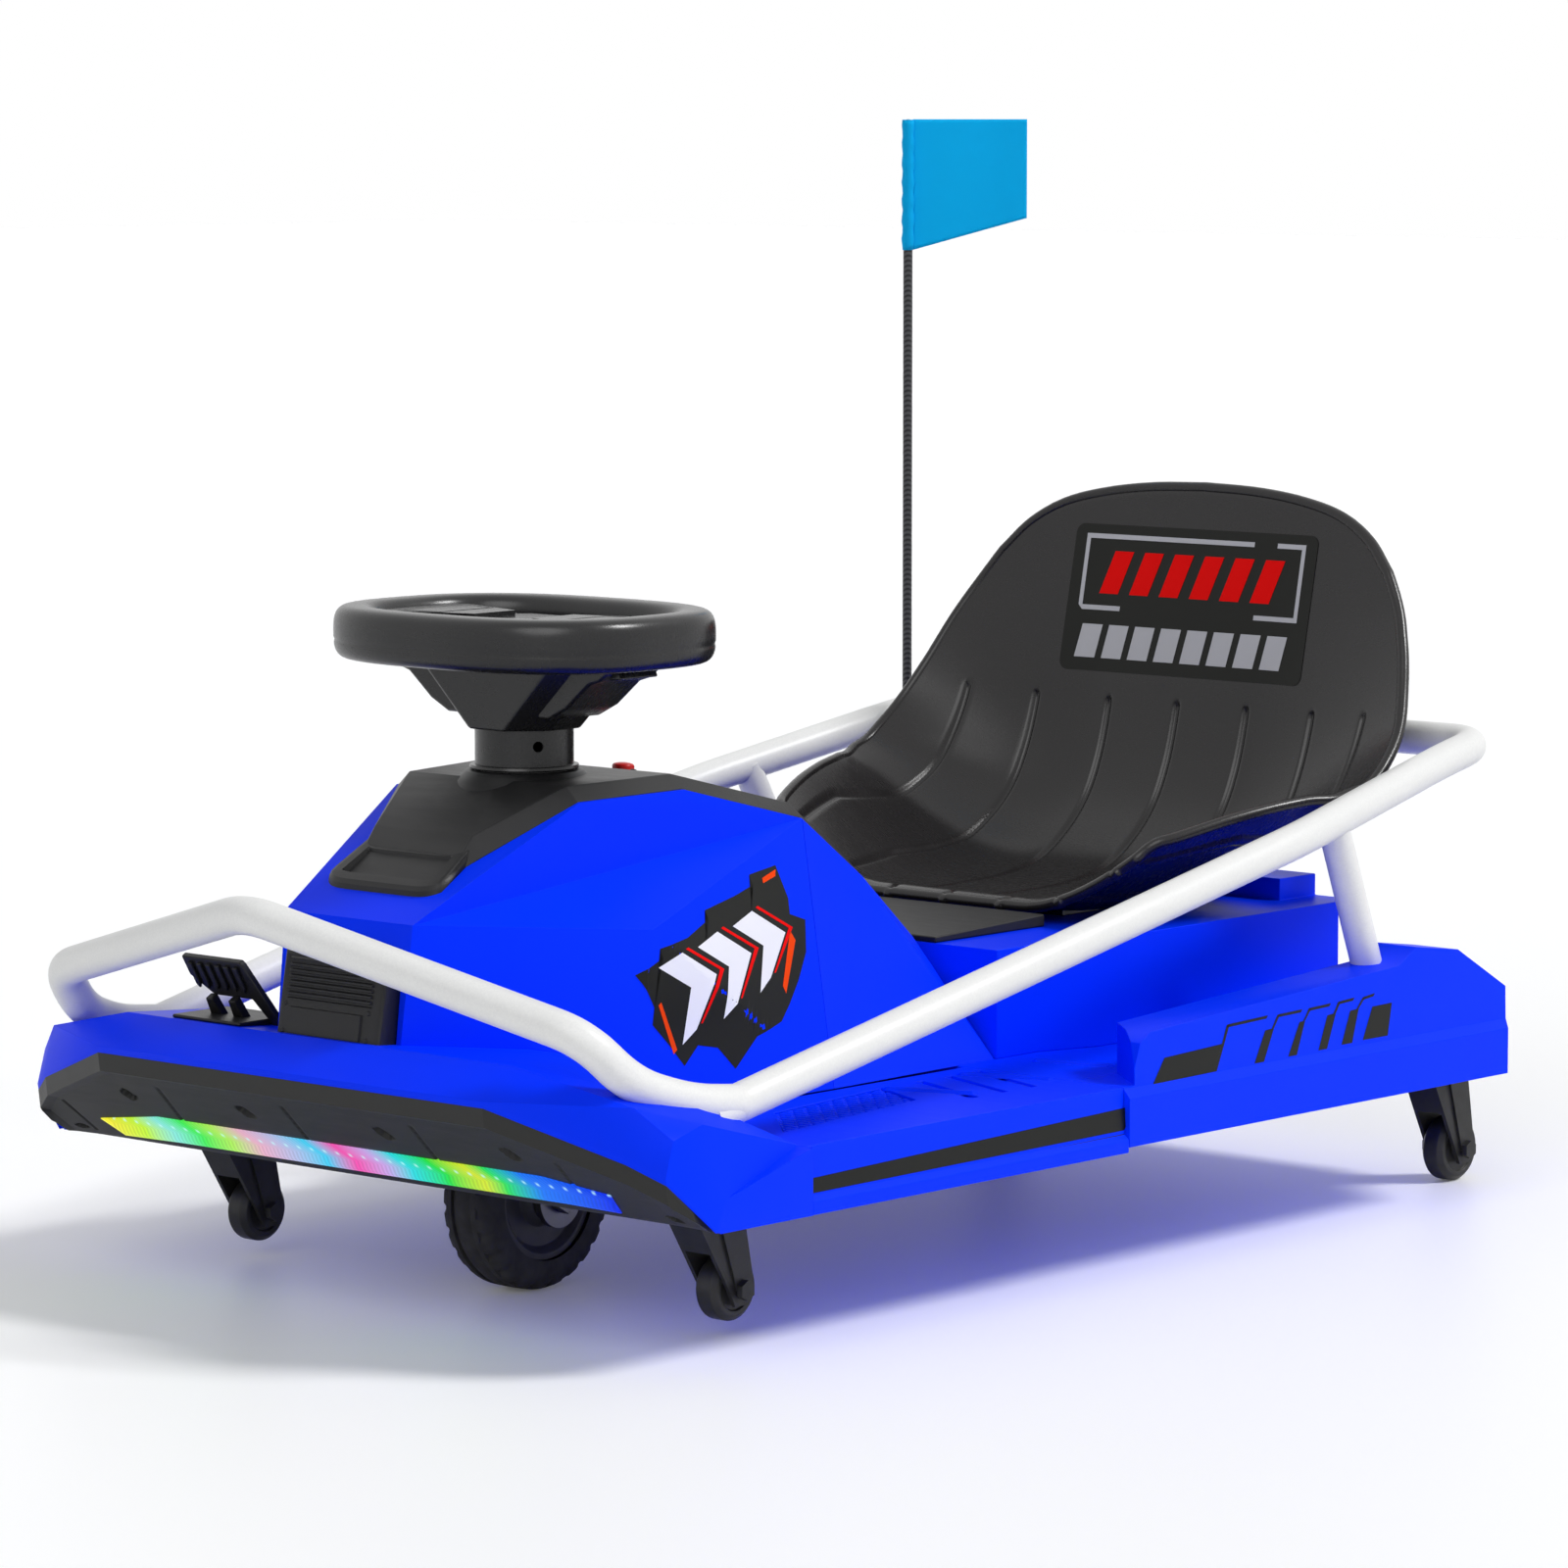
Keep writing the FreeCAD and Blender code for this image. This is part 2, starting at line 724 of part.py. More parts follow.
def foot_boards():
    """Make the left foot board with its sill, grip recess and treads, and mirror it."""
    body = doc.addObject("PartDesign::Body", "board_body")
    inner, outer = size("board_inner"), size("board_outer")
    front, rear = size("floor_front"), size("board_rear") - size("board_seam")
    sill_top = size("sill_top_half")
    plan = draw(body, "board_plan", "XY_Plane", [(inner, front), (outer, front), (outer, rear), (inner, rear)], BOARD)
    pad(body, "board_plate", plan, size("board_thick"), downward=True)
    sill = draw(body, "sill_outline", "XZ_Plane", [
        (outer, KEEL), (HALF, KEEL), (HALF, KEEL + size("sill_step")), (sill_top + 2, KEEL + size("sill_step") * 1.4),
        (sill_top, BOARD), (outer, BOARD)], -front)
    pad(body, "sill", sill, rear - front, downward=True)
    recess = draw(body, "recess_outline", "XY_Plane", [
        (inner + 37, 39), (outer - 41, -23), (outer - 66, 153), (inner + 20, 179)], BOARD)
    pocket(body, "grip_recess", recess, size("grip_recess"))
    groove_wide = size("tread_groove_width")
    start = rear * 0.62
    groove = draw(body, "groove_outline", "XY_Plane", [
        (inner + 22, start + 30), (outer - 40, start), (outer - 40, start + groove_wide),
        (inner + 22, start + 30 + groove_wide)], BOARD)
    tread = pocket(body, "tread", groove, size("tread_groove"))
    row_of(body, "treads", tread, groove, "V_Axis", size("tread_groove_pitch"), 3)
    keep("foot_board_left", body)
    keep("foot_board_right", other_side("board_other", body))


def pods():
    """Make the left rear pod from its side view, ledge and bevelled rear end, and mirror it."""
    body = doc.addObject("PartDesign::Body", "pod_body")
    foot, end = KEEL + 4, size("pod_end")
    start, tail = size("board_rear"), size("pod_end") + size("pod_end_bevel")
    side = draw(body, "pod_side", "YZ_Plane", [
        (start, foot), (start, BOARD), (start + 8, BOARD), (start + 22, 182), (start + 34, 189), (end - 137, 207),
        (end - 113, 219.5), (end - 57, 212), (tail, 155), (tail, foot)], size("pod_inner"))
    pad(body, "pod_block", side, HALF - size("pod_inner"))
    ledge = size("pod_ledge")
    bevel = draw(body, "pod_bevel", "XZ_Plane", [
        (HALF + 5, ledge), (HALF, ledge), (size("pod_top_half") + 4, ledge + size("pod_ledge_rise")),
        (size("pod_top_half"), BOARD * 1.5), (HALF + 5, BOARD * 1.5)])
    pocket(body, "pod_ledge_cut", bevel, end * 3, both_ways=True)
    corner = draw(body, "pod_corner", "XY_Plane", [
        (HALF + 1, end), (HALF + 1, tail + 1), (size("pod_inner"), tail + 1), (size("pod_inner"), tail)])
    pocket(body, "pod_end_cut", corner, BOARD * 4, both_ways=True)
    nose_plan = draw(body, "pod_nose", "XY_Plane", [
        (HALF, start), (HALF, start + 8), (size("pod_inner"), start + 53), (size("pod_inner"), start)], BOARD * 2)
    pocket(body, "pod_nose_cut", nose_plan, BOARD)
    keep("rear_pod_left", body)
    keep("rear_pod_right", other_side("pod_other", body))
    return body


def rear_deck():
    """Make the deck over the rear casters, bored for their stems."""
    body = doc.addObject("PartDesign::Body", "deck_body")
    front, rear = size("deck_front"), size("rear_reach")
    inner, tail = size("pod_inner"), size("deck_rear_half")
    turn = size("pod_end") + size("pod_end_bevel")
    side = [(inner, front), (inner, turn), (tail + 14, turn + 26), (tail, rear)]
    plan = draw(body, "deck_plan", "XY_Plane", side + [(-across, up) for across, up in side[::-1]], KEEL)
    pad(body, "deck_plate", plan, size("deck_height") - KEEL)
    keep("rear_deck", cut("deck_bored", body, stem_bores("rear_bores", 2)))


floor_tray()
foot_boards()
pod = pods()
rear_deck()


def seat_base():
    """Make the base under the seat with its bevelled front corners, its riser and the battery's room."""
    body = doc.addObject("PartDesign::Body", "base_body")
    foot = BOARD
    front, rear = size("base_front"), size("base_rear")
    half, slim = size("base_half"), size("base_front_half")
    plan = [(slim, front), (slim, front + 50), (half, front + 104), (half, rear - 24), (half - 20, rear)]
    outline = draw(body, "base_plan", "XY_Plane", plan + [(-across, up) for across, up in plan[::-1]], foot)
    pad(body, "base_block", outline, size("base_height") - foot)
    riser_half = size("riser_half")
    riser = draw(body, "riser_plan", "XY_Plane", [
        (-riser_half, size("riser_front")), (riser_half, size("riser_front")), (riser_half, rear - 2),
        (-riser_half, rear - 2)], foot)
    pad(body, "riser", riser, size("riser_height") - foot)
    half_pack = size("battery_width") / 2
    start, end = size("battery_place"), size("battery_place") + size("battery_length")
    room = block("battery_room", (-half_pack, half_pack), (start, end), (foot, foot + size("battery_height")))
    keep("seat_base", cut("base_open", body, room))
    pack = doc.addObject("PartDesign::Body", "battery_body")
    pack_plan = draw(pack, "battery_plan", "XY_Plane", [
        (-half_pack, start), (half_pack, start), (half_pack, end), (-half_pack, end)], foot)
    pad(pack, "battery_block", pack_plan, size("battery_height"))
    keep("battery", pack)
    panel = doc.addObject("PartDesign::Body", "panel_body")
    top = size("base_height")
    side = draw(panel, "panel_side", "YZ_Plane", [
        (front, top), (size("panel_rear"), top), (size("panel_rear"), top + size("panel_rear_thick")),
        (front, top + size("panel_front_thick"))])
    pad(panel, "panel", side, size("panel_half") * 2, both_ways=True)
    keep("centre_cover", panel)


seat_base()

# Hood: corners on the left side as half width, place and height

HOOD = {
    "front_foot": (62, -203, 151),
    "front_top": (66, -185, 298),
    "cowl": (56, -122, 331.5),
    "crown": (95, -40, 377),
    "crest": (105, 62, 379),
    "brow": (120, 177, 349),
    "tail": (110, 258, 297),
    "end_top": (100, 330, 242),
    "end_foot": (170, 345, 151),
    "seam_foot": (175, 151, 151),
    "knuckle": (150, -21, 286),
    "side_foot": (165, -60, 151),
}
HOOD_SIDE = (
    # corners of each flat panel of one side
    ("front_foot", "front_top", "side_foot"),
    ("front_top", "knuckle", "side_foot"),
    ("front_top", "brow", "knuckle"),
    ("front_top", "cowl", "crown"),
    ("front_top", "crown", "brow"),
    ("crown", "crest", "brow"),
    ("knuckle", "brow", "seam_foot"),
    ("knuckle", "seam_foot", "side_foot"),
    ("brow", "tail", "seam_foot"),
    ("tail", "end_foot", "seam_foot"),
    ("tail", "end_top", "end_foot"),
)
HOOD_MIDDLE = ("front_foot", "front_top", "cowl", "crown", "crest", "brow", "tail", "end_top", "end_foot")


def hood_block(wall):
    """Make the faceted hood as a solid, drawn in by a wall on every side but its foot."""
    corners = {}
    for name, (x, y, z) in HOOD.items():
        along = wall if name.startswith("front") else -wall if name.startswith("end") else 0.0
        drop = 1.0 if name.endswith("foot") and wall else wall
        corners[name] = Vector(x - wall, y + along, z - (drop if wall else 0.0))
    faces = []
    for names in HOOD_SIDE:
        side = [corners[name] for name in names]
        faces.append(Part.Face(polygon(side)))
        faces.append(Part.Face(polygon([flip(point) for point in side])))
    for first, second in zip(HOOD_MIDDLE, HOOD_MIDDLE[1:]):
        low, high = corners[first], corners[second]
        faces.append(Part.Face(polygon([low, high, flip(high), flip(low)])))
    foot = [corners[name] for name in ("front_foot", "side_foot", "seam_foot", "end_foot")]
    faces.append(Part.Face(polygon(foot + [flip(point) for point in foot[::-1]])))
    return solid_of(faces)


COLUMN_HOLE = rod(Vector(0, 0, BOARD), Vector(0, 0, BOARD * 3),
                  float(size("column_dia") / 2 + size("column_clearance")))


def behind_seam(gap):
    """Make the room behind the seam plane that splits the hood, moved back by a gap."""
    foot, brow = Vector(*HOOD["seam_foot"]), Vector(*HOOD["brow"])
    way = brow - foot
    low = foot - way * 0.2 + Vector(0, gap, 0)
    high = foot + way * 1.4 + Vector(0, gap, 0)
    reach = float(HALF)
    side = [Vector(-reach, low.y, low.z), Vector(-reach, high.y, high.z), Vector(-reach, high.y + reach, high.z),
            Vector(-reach, low.y + reach, low.z)]
    return slab(side, Vector(reach * 2, 0, 0))


# Nose across the kart, from the right end to the middle and back
NOSE = (
    # x, lip y, lip z, ridge y, ridge z, back y, back z, chin y
    (340, -164, 106, -158, 118, -150, 126, -158),
    (325, -198, 144, -190, 170, -160, 178, -152),
    (300, -213, 158, -203, 192, -140, 190, -150),
    (199, -251, 191.5, -220, 213.6, -120, 206, -150),
)


def nose_rows():
    """Give the nose's rows over the whole width."""
    return [(-row[0],) + row[1:] for row in NOSE] + list(NOSE[::-1])


def nose_block():
    """Make the nose from its sections, with the lip that the bumper tucks under."""
    depth, thick = float(size("lip_depth")), float(size("lip_thick"))
    heel = float(size("floor_front"))
    keel, board = float(KEEL), float(BOARD)
    sections = []
    for x, lip_y, lip_z, ridge_y, ridge_z, back_y, back_z, chin_y in nose_rows():
        under = max(lip_z - thick, keel + 1)
        sections.append([
            Vector(x, lip_y, lip_z), Vector(x, ridge_y, ridge_z), Vector(x, back_y, back_z),
            Vector(x, heel, board), Vector(x, heel, keel), Vector(x, chin_y, keel),
            Vector(x, min(lip_y + depth, chin_y - 0.5), under), Vector(x, lip_y + 1, under)])
    return panelled(sections)


def front_end():
    """Make the nose deck, the bumper skin with its lamp strip, and the hood in its two mouldings."""
    nose = nose_block()
    well = rod(Vector(0, 0, 0), Vector(0, 0, BOARD * 3), float(size("well_dia") / 2))
    keel = float(KEEL)
    bevel, thick = float(size("fascia_bevel")), float(size("fascia_thick"))
    lip = float(size("lip_thick"))
    sections = []
    for x, lip_y, lip_z, ridge_y, ridge_z, back_y, back_z, chin_y in nose_rows()[1:-1]:
        top = lip_z - lip
        sections.append([
            Vector(x, lip_y + 1.5, top), Vector(x, lip_y + bevel + 1.5, top - bevel),
            Vector(x, chin_y - thick, keel + 2), Vector(x, chin_y - 1, keel + 2), Vector(x, chin_y, keel + 2),
            Vector(x, lip_y + bevel + thick, top)])
    fascia = panelled(sections).cut(nose)
    half, low = float(size("lamp_half")), float(size("lamp_low"))
    high, slant = low + float(size("lamp_height")), float(size("lamp_slant"))
    lamp = slab([Vector(-half + slant, -400, low), Vector(half - slant, -400, low), Vector(half, -400, high),
                 Vector(-half, -400, high)], Vector(0, 400, 0))
    shaped("bumper_fascia", fascia.cut(lamp))
    shaped("light_strip", fascia.common(lamp))

    wall = float(size("hood_wall"))
    hood = hood_block(0.0).cut(hood_block(wall)).cut(COLUMN_HOLE).cut(nose)
    shaped("hood_front", hood.cut(behind_seam(0.0)))
    shaped("hood_rear", hood.common(behind_seam(float(size("hood_seam")))))
    deck = shaped("nose_bare", nose.cut(well))
    del nodes["nose_bare"]
    keep("nose_deck", cut("nose_bored", deck, stem_bores("front_bores", 0)))
    return nose


nose = front_end()


def hood_cover():
    """Make the black cover along the hood's crown, with its scoop, switch block and button."""
    edge, bevel, rise = [float(size(name)) for name in ("cover_edge", "cover_bevel", "cover_rise")]
    cowl, front_top = HOOD["cowl"], HOOD["front_top"]
    start = [low + (high - low) * 0.25 for low, high in zip(cowl, front_top)]
    rows = [(tuple(start), 2.5, bevel * 0.2), (cowl, rise * 0.5, bevel * 0.4)]
    crown = HOOD["crown"]
    lift = [low + (high - low) * 0.18 for low, high in zip(cowl, crown)]
    rows.append((tuple(lift), rise * 1.4, bevel * 0.9))
    rows += [(HOOD[name], rise, bevel) for name in ("crown", "crest", "brow", "tail", "end_top")]
    sections = []
    for (x, y, z), height, side in rows:
        foot = x - edge
        sections.append([Vector(-foot, y, z), Vector(foot, y, z), Vector(foot - side, y, z + height),
                         Vector(side - foot, y, z + height)])
    cover = panelled(sections)
    brow, crest = Vector(*HOOD["brow"]), Vector(*HOOD["crest"])
    seat = brow.z + rise
    switch = slab([Vector(-22, brow.y - 26, seat - 10), Vector(-22, brow.y + 20, seat - 26),
                   Vector(-22, brow.y + 20, seat - 4), Vector(-22, brow.y - 24, seat + 14)], Vector(48, 0, 0))
    button = rod(Vector(0, crest.y + 46, crest.z - 6), Vector(0, crest.y + 48, crest.z + rise - 6), 9.0)
    cover = cover.fuse([switch, button]).cut(COLUMN_HOLE).cut(hood_block(0.0)).removeSplitter()
    shaped("hood_cover", cover)


hood_cover()


def vent_box():
    """Make the vent box on the hood's face, upright with a row of slots, then leaned back."""
    body = doc.addObject("PartDesign::Body", "vent_body")
    thick, tall = size("vent_thick"), size("vent_height")
    side = draw(body, "vent_side", "YZ_Plane", [(0, 0), (thick, 0), (thick, tall), (thick * 0.3, tall), (0, tall - 8)])
    pad(body, "vent_block", side, size("vent_half") * 2, both_ways=True)
    slot, depth = size("vent_slot"), size("vent_slot_depth")
    notch = draw(body, "vent_notch", "YZ_Plane", [
        (-1, tall * 0.42), (depth, tall * 0.42), (depth, tall * 0.42 + slot), (-1, tall * 0.42 + slot)])
    groove = pocket(body, "vent_slot", notch, (size("vent_half") - 6) * 2, both_ways=True)
    row_of(body, "vent_slots", groove, notch, "V_Axis", size("vent_slot_pitch"), 3)
    front_top, front_foot = Vector(*HOOD["front_top"]), Vector(*HOOD["front_foot"])
    lean = float(size("vent_lean"))
    low = 209.0
    share = (low - front_foot.z) / (front_top.z - front_foot.z)
    back = front_foot.y + (front_top.y - front_foot.y) * share - 4.5
    turn = Rotation(Vector(1, 0, 0), -lean)
    body.Placement = Placement(Vector(0, back - float(thick), low), turn)
    solid = shaped("vent_stop", nose.fuse(hood_block(0.0)))
    del nodes["vent_stop"]
    keep("vent_box", cut("vent_seated", body, solid))


vent_box()


def pedal():
    """Make the pedal plate with its slots, leaned forward, and the base that it stands on."""
    x_middle, y_foot, z_foot = -119.0, -186.0, 214.0
    base = slab([Vector(x_middle - 36, -216, z_foot + 2), Vector(x_middle - 36, -216, 206),
                 Vector(x_middle - 36, -160, 202), Vector(x_middle - 36, -160, z_foot + 2)], Vector(72, 0, 0))
    shaped("pedal_base", base.cut(nose).cut(hood_block(0.0)))
    body = doc.addObject("PartDesign::Body", "pedal_body")
    half, tall = size("pedal_width") / 2, size("pedal_height")
    face = draw(body, "pedal_face", "XZ_Plane", [
        (-half, tall * 0.45), (-half * 0.5, 0), (half * 0.5, 0), (half, tall * 0.45), (half, tall), (-half, tall)])
    pad(body, "pedal_plate", face, size("pedal_thick"), both_ways=True)
    slot, pitch = size("pedal_slot"), size("pedal_slot_pitch")
    first = -pitch * 2 - slot / 2
    gap = draw(body, "pedal_gap", "XZ_Plane", [
        (first, tall * 0.55), (first + slot, tall * 0.55), (first + slot, tall * 0.9), (first, tall * 0.9)])
    opening = pocket(body, "pedal_slot", gap, size("pedal_thick") * 2, both_ways=True)
    row_of(body, "pedal_slots", opening, gap, "H_Axis", pitch, 5)
    turn = Rotation(Vector(1, 0, 0), float(size("pedal_lean")))
    body.Placement = Placement(Vector(x_middle, y_foot, z_foot + 4), turn)
    keep("pedal", body)


pedal()

# Guard tubes

TUBE = float(size("tube_dia")) / 2
guard_foot = Vector(306, -137, 150)
guard_corner = Vector(270, -222, 240)
guard_apex = Vector(0, -float(size("guard_apex_reach")), float(size("guard_apex_height")))
GUARD = [guard_foot, guard_corner, guard_apex, flip(guard_corner), flip(guard_foot)]
RAIL = [Vector(298, -125, 176), Vector(317, 330, 275), Vector(317, 540, 317), Vector(291, 760, 358)]


def guard_tubes():
    """Make the front guard, the side rails with their posts, and the rear guard."""
    hoop = tube(GUARD, TUBE, size("guard_bend")).cut(nose)
    shaped("front_guard", hoop)
    rail = tube(RAIL, TUBE, size("rail_bend")).cut(hoop).cut(nose)
    shaped("side_rail_left", rail)
    shaped("side_rail_right", mirrored(rail))
    corner = Vector(float(size("rear_tube_half")), float(size("rear_tube_place")), float(size("rear_tube_height")))
    rear = tube([RAIL[-1], corner, flip(corner), flip(RAIL[-1])], TUBE, size("rear_bend"))
    rear = rear.cut(rail).cut(mirrored(rail))
    post = rod(Vector(309, 591, 328), Vector(299, 655, 200), float(size("post_dia")) / 2)
    doc.recompute()
    post = post.cut(rail).cut(pod.Shape)
    post = [piece for piece in post.Solids if piece.BoundBox.ZMax > 250][0]
    shaped("rail_post_left", post)
    shaped("rail_post_right", mirrored(post))
    return rear


rear_guard = guard_tubes()

# Seat shell along its middle line: place, height, lean of the section, half width, side rise

SEAT = (
    # y, z, lean, half, rise
    (492, 256, -8, 190, 50),
    (520, 249, -6, 206, 64),
    (560, 246, -4, 222, 78),
    (605, 246, 1, 235, 85),
    (650, 248, 8, 245, 88),
    (694, 257, 22, 255, 85),
    (730, 278, 38, 262, 80),
    (757, 304, 54, 266, 70),
    (774, 335, 66, 268, 60),
    (785, 370, 74, 264, 46),
    (792, 405, 79, 256, 34),
    (800, 448, 79, 247, 22),
    (808, 490, 78, 236, 12),
    (826, 580, 78, 205, 4),
)
SEAT_OUTLINE = (
    # half width and height of the back's rim, from the sides to the top
    (300, 200), (290, 320), (275, 348), (262, 375), (252, 405), (240, 440), (226, 470), (205, 503),
    (180, 528), (148, 546), (105, 557), (55, 563), (0, 565),
)
SEAT_STEPS = 14
SEAT_CURL = 1.75
SEAT_GROOVES = (-146, -73, 0, 73, 146)


def seat_section(y, z, lean, wide, rise, lift):
    """Give one section's outline points across the seat, flat in the middle and curling up at its sides."""
    turn = math.radians(lean)
    up = Vector(0, -math.sin(turn), math.cos(turn))
    origin = Vector(0, y, z).add(up * lift)
    flat = float(size("seat_flat"))
    points = []
    for step in range(-SEAT_STEPS // 2, SEAT_STEPS // 2 + 1):
        x = wide * step / (SEAT_STEPS / 2)
        share = max(abs(x) - flat, 0) / (wide - flat)
        points.append(origin.add(Vector(x, 0, 0)).add(up * (rise * share ** SEAT_CURL)))
    return points


def seat_shell():
    """Make the bucket from its sections, cut to its rim's outline and grooved down its back."""
    wall = float(size("seat_wall"))
    sections = []
    for y, z, lean, wide, rise in SEAT:
        high = seat_section(y, z, lean, wide, rise, 0.0)
        low = seat_section(y, z, lean, wide, rise, -wall)
        sections.append(high + low[::-1])
    shell = panelled(sections)
    rim = [Vector(-half, 300, z) for half, z in SEAT_OUTLINE]
    rim += [Vector(half, 300, z) for half, z in SEAT_OUTLINE[-2::-1]]
    shell = shell.common(slab(rim, Vector(0, 700, 0)))
    deep, wide = float(size("seat_groove_depth")), float(size("seat_groove_width"))
    middle = [row for row in SEAT if row[1] < 400]
    for x in SEAT_GROOVES:
        edge = []
        for y, z, lean, half, rise in middle:
            turn = math.radians(lean)
            up = Vector(0, -math.sin(turn), math.cos(turn))
            share = max(abs(x) - float(size("seat_flat")), 0) / (half - float(size("seat_flat")))
            edge.append((Vector(x - wide / 2, y, z) + up * (rise * share ** SEAT_CURL), up))
        groove = [point - up * deep for point, up in edge] + [point + up * deep * 3 for point, up in edge[::-1]]
        shell = shell.cut(slab(groove, Vector(wide, 0, 0)))
    return shell


seat = seat_shell()
shaped("seat_shell", seat)
bracket_half, bracket_front = float(size("bracket_half")), float(size("bracket_front"))
bracket_low = float(size("base_height"))
bracket = Part.makeBox(bracket_half * 2, float(size("bracket_length")), 7,
                       Vector(-bracket_half, bracket_front, bracket_low))
shaped("seat_bracket", bracket.cut(seat))


def flag_and_pole():
    """Make the flag pole, the rear guard with its bore, and the flag beside the pole."""
    x, y = -float(size("flag_pole_half_track")), float(size("flag_pole_place"))
    top, radius = float(size("flag_pole_top")), float(size("flag_pole_dia")) / 2
    pole = rod(Vector(x, y, float(size("flag_pole_foot"))), Vector(x, y, top), radius)
    shaped("rear_guard", rear_guard.cut(pole))
    shaped("flag_pole", pole)
    turn = math.radians(float(size("flag_turn")))
    along = Vector(math.cos(turn), math.sin(turn), 0)
    out = Vector(math.sin(turn), -math.cos(turn), 0)
    thick, tall = float(size("flag_thick")), float(size("flag_height"))
    base = Vector(x, y, top) + out * (-thick / 2) + along * (radius + 0.2)
    far = base + along * float(size("flag_length"))
    drop = Vector(0, 0, -tall)
    shaped("flag", slab([base + drop, far + drop * 0.7, far, base], out * thick))


flag_and_pole()

# Move the kart so that its origin is below the middle of its box, check and write

guard_front = bent_path(GUARD, size("guard_bend")).optimalBoundingBox().YMin - TUBE
AHEAD = -(guard_front + float(size("rear_reach"))) / 2
doc.recompute()
shift = Placement(Vector(0, AHEAD, 0), Rotation())
for thing in nodes.values():
    if thing.TypeId != "Part::Mirroring":
        thing.Placement = shift.multiply(thing.Placement)
doc.recompute()
for thing in doc.Objects:
    if "Invalid" in thing.State or "Error" in thing.State:
        raise RuntimeError("failed: " + thing.Label)
os.makedirs("parts", exist_ok=True)
for label, thing in sorted(nodes.items()):
    shape = thing.Shape
    if shape.isNull() or not shape.isValid():
        raise RuntimeError("bad shape: " + label)
    print("%-24s solids %d volume %10.0f" % (label, len(shape.Solids), shape.Volume))
    shape.exportStep("parts/" + label + ".step")
print(len(nodes), "nodes, steering axis at y = %.4f" % AHEAD)
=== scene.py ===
"""Dress the electric drift kart: its finishes, its fine shapes and the studio that it stands in."""

import json
import logging
import math
from dataclasses import dataclass, field
from enum import Enum
from typing import Any, Callable, Sequence

import bmesh
import bpy
import numpy as np
from mathutils import Matrix, Vector

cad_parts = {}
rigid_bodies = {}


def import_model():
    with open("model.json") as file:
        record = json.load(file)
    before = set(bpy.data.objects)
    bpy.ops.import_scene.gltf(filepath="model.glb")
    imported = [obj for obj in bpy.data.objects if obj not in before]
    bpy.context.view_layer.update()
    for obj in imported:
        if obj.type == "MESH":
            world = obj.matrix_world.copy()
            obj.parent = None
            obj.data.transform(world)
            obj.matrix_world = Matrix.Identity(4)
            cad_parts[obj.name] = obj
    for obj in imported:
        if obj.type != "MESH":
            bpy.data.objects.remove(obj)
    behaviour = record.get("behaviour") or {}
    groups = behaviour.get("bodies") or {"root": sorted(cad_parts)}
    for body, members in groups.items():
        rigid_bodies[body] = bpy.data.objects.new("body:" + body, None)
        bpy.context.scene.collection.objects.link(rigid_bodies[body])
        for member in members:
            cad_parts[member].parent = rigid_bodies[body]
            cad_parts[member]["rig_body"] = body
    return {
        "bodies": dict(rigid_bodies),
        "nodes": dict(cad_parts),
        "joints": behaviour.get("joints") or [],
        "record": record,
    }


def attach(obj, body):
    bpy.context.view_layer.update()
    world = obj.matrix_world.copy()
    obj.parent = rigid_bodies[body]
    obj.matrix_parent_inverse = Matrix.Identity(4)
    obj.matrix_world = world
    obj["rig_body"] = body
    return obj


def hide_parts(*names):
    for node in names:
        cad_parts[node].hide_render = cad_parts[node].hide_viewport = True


LOG = logging.getLogger("drift_kart")
STEERING_AXIS = -0.2924642


def placed(points: np.ndarray) -> np.ndarray:
    """Move points to the kart's own frame.

    Args:
        points: places in millimetres, with Y measured from the steering axis.

    Returns:
        The same places in metres, p / 1000 with the steering axis added to Y.
    """
    moved = np.asarray(points, float) / 1000.0
    moved[..., 1] += STEERING_AXIS
    return moved


class Body(Enum):
    """The moving bodies that pieces ride on."""

    KART = "kart"
    STEERING = "steering"
    DRIVE_WHEEL = "drive_wheel"


class Slot(Enum):
    """The record's material slots."""

    BLUE = "blue_shell"
    BLACK = "black_trim"
    WHITE = "white_tube"
    SEAT = "seat_plastic"
    STEEL = "steel"
    TYRE = "tyre_rubber"
    HUB = "hub_grey"
    CASTER = "caster_black"
    LENS = "light_lens"
    CLOTH = "flag_cloth"
    POLE = "pole_fibre"
    BATTERY = "battery_case"


# Effects that several finishes share


def new_group(name: str, inputs: Sequence[tuple[str, str]], outputs: Sequence[tuple[str, str]]) -> Any:
    """Start a shader node group with named sockets.

    Args:
        name: the group's name.
        inputs: names and kinds of its inputs.
        outputs: names and kinds of its outputs.

    Returns:
        The node tree.
    """
    tree = bpy.data.node_groups.new(name, "ShaderNodeTree")
    for label, kind in inputs:
        tree.interface.new_socket(name=label, in_out="INPUT", socket_type="NodeSocket" + kind)
    for label, kind in outputs:
        tree.interface.new_socket(name=label, in_out="OUTPUT", socket_type="NodeSocket" + kind)
    return tree


def wire(tree: Any, kind: str, links: dict[str, Any] | None = None, values: dict[str, Any] | None = None,
         **settings: Any) -> Any:
    """Add a node, set it and link its inputs.

    Args:
        tree: the node tree.
        kind: the node's type without its ShaderNode prefix.
        links: output sockets by input name or number.
        values: plain values by input name or number.
        settings: the node's own settings.

    Returns:
        The node.
    """
    node = tree.nodes.new("ShaderNode" + kind if not kind.startswith("Node") else kind)
    for name, value in settings.items():
        setattr(node, name, value)
    for key, value in (values or {}).items():
        node.inputs[key].default_value = value
    for key, socket in (links or {}).items():
        tree.links.new(socket, node.inputs[key])
    return node


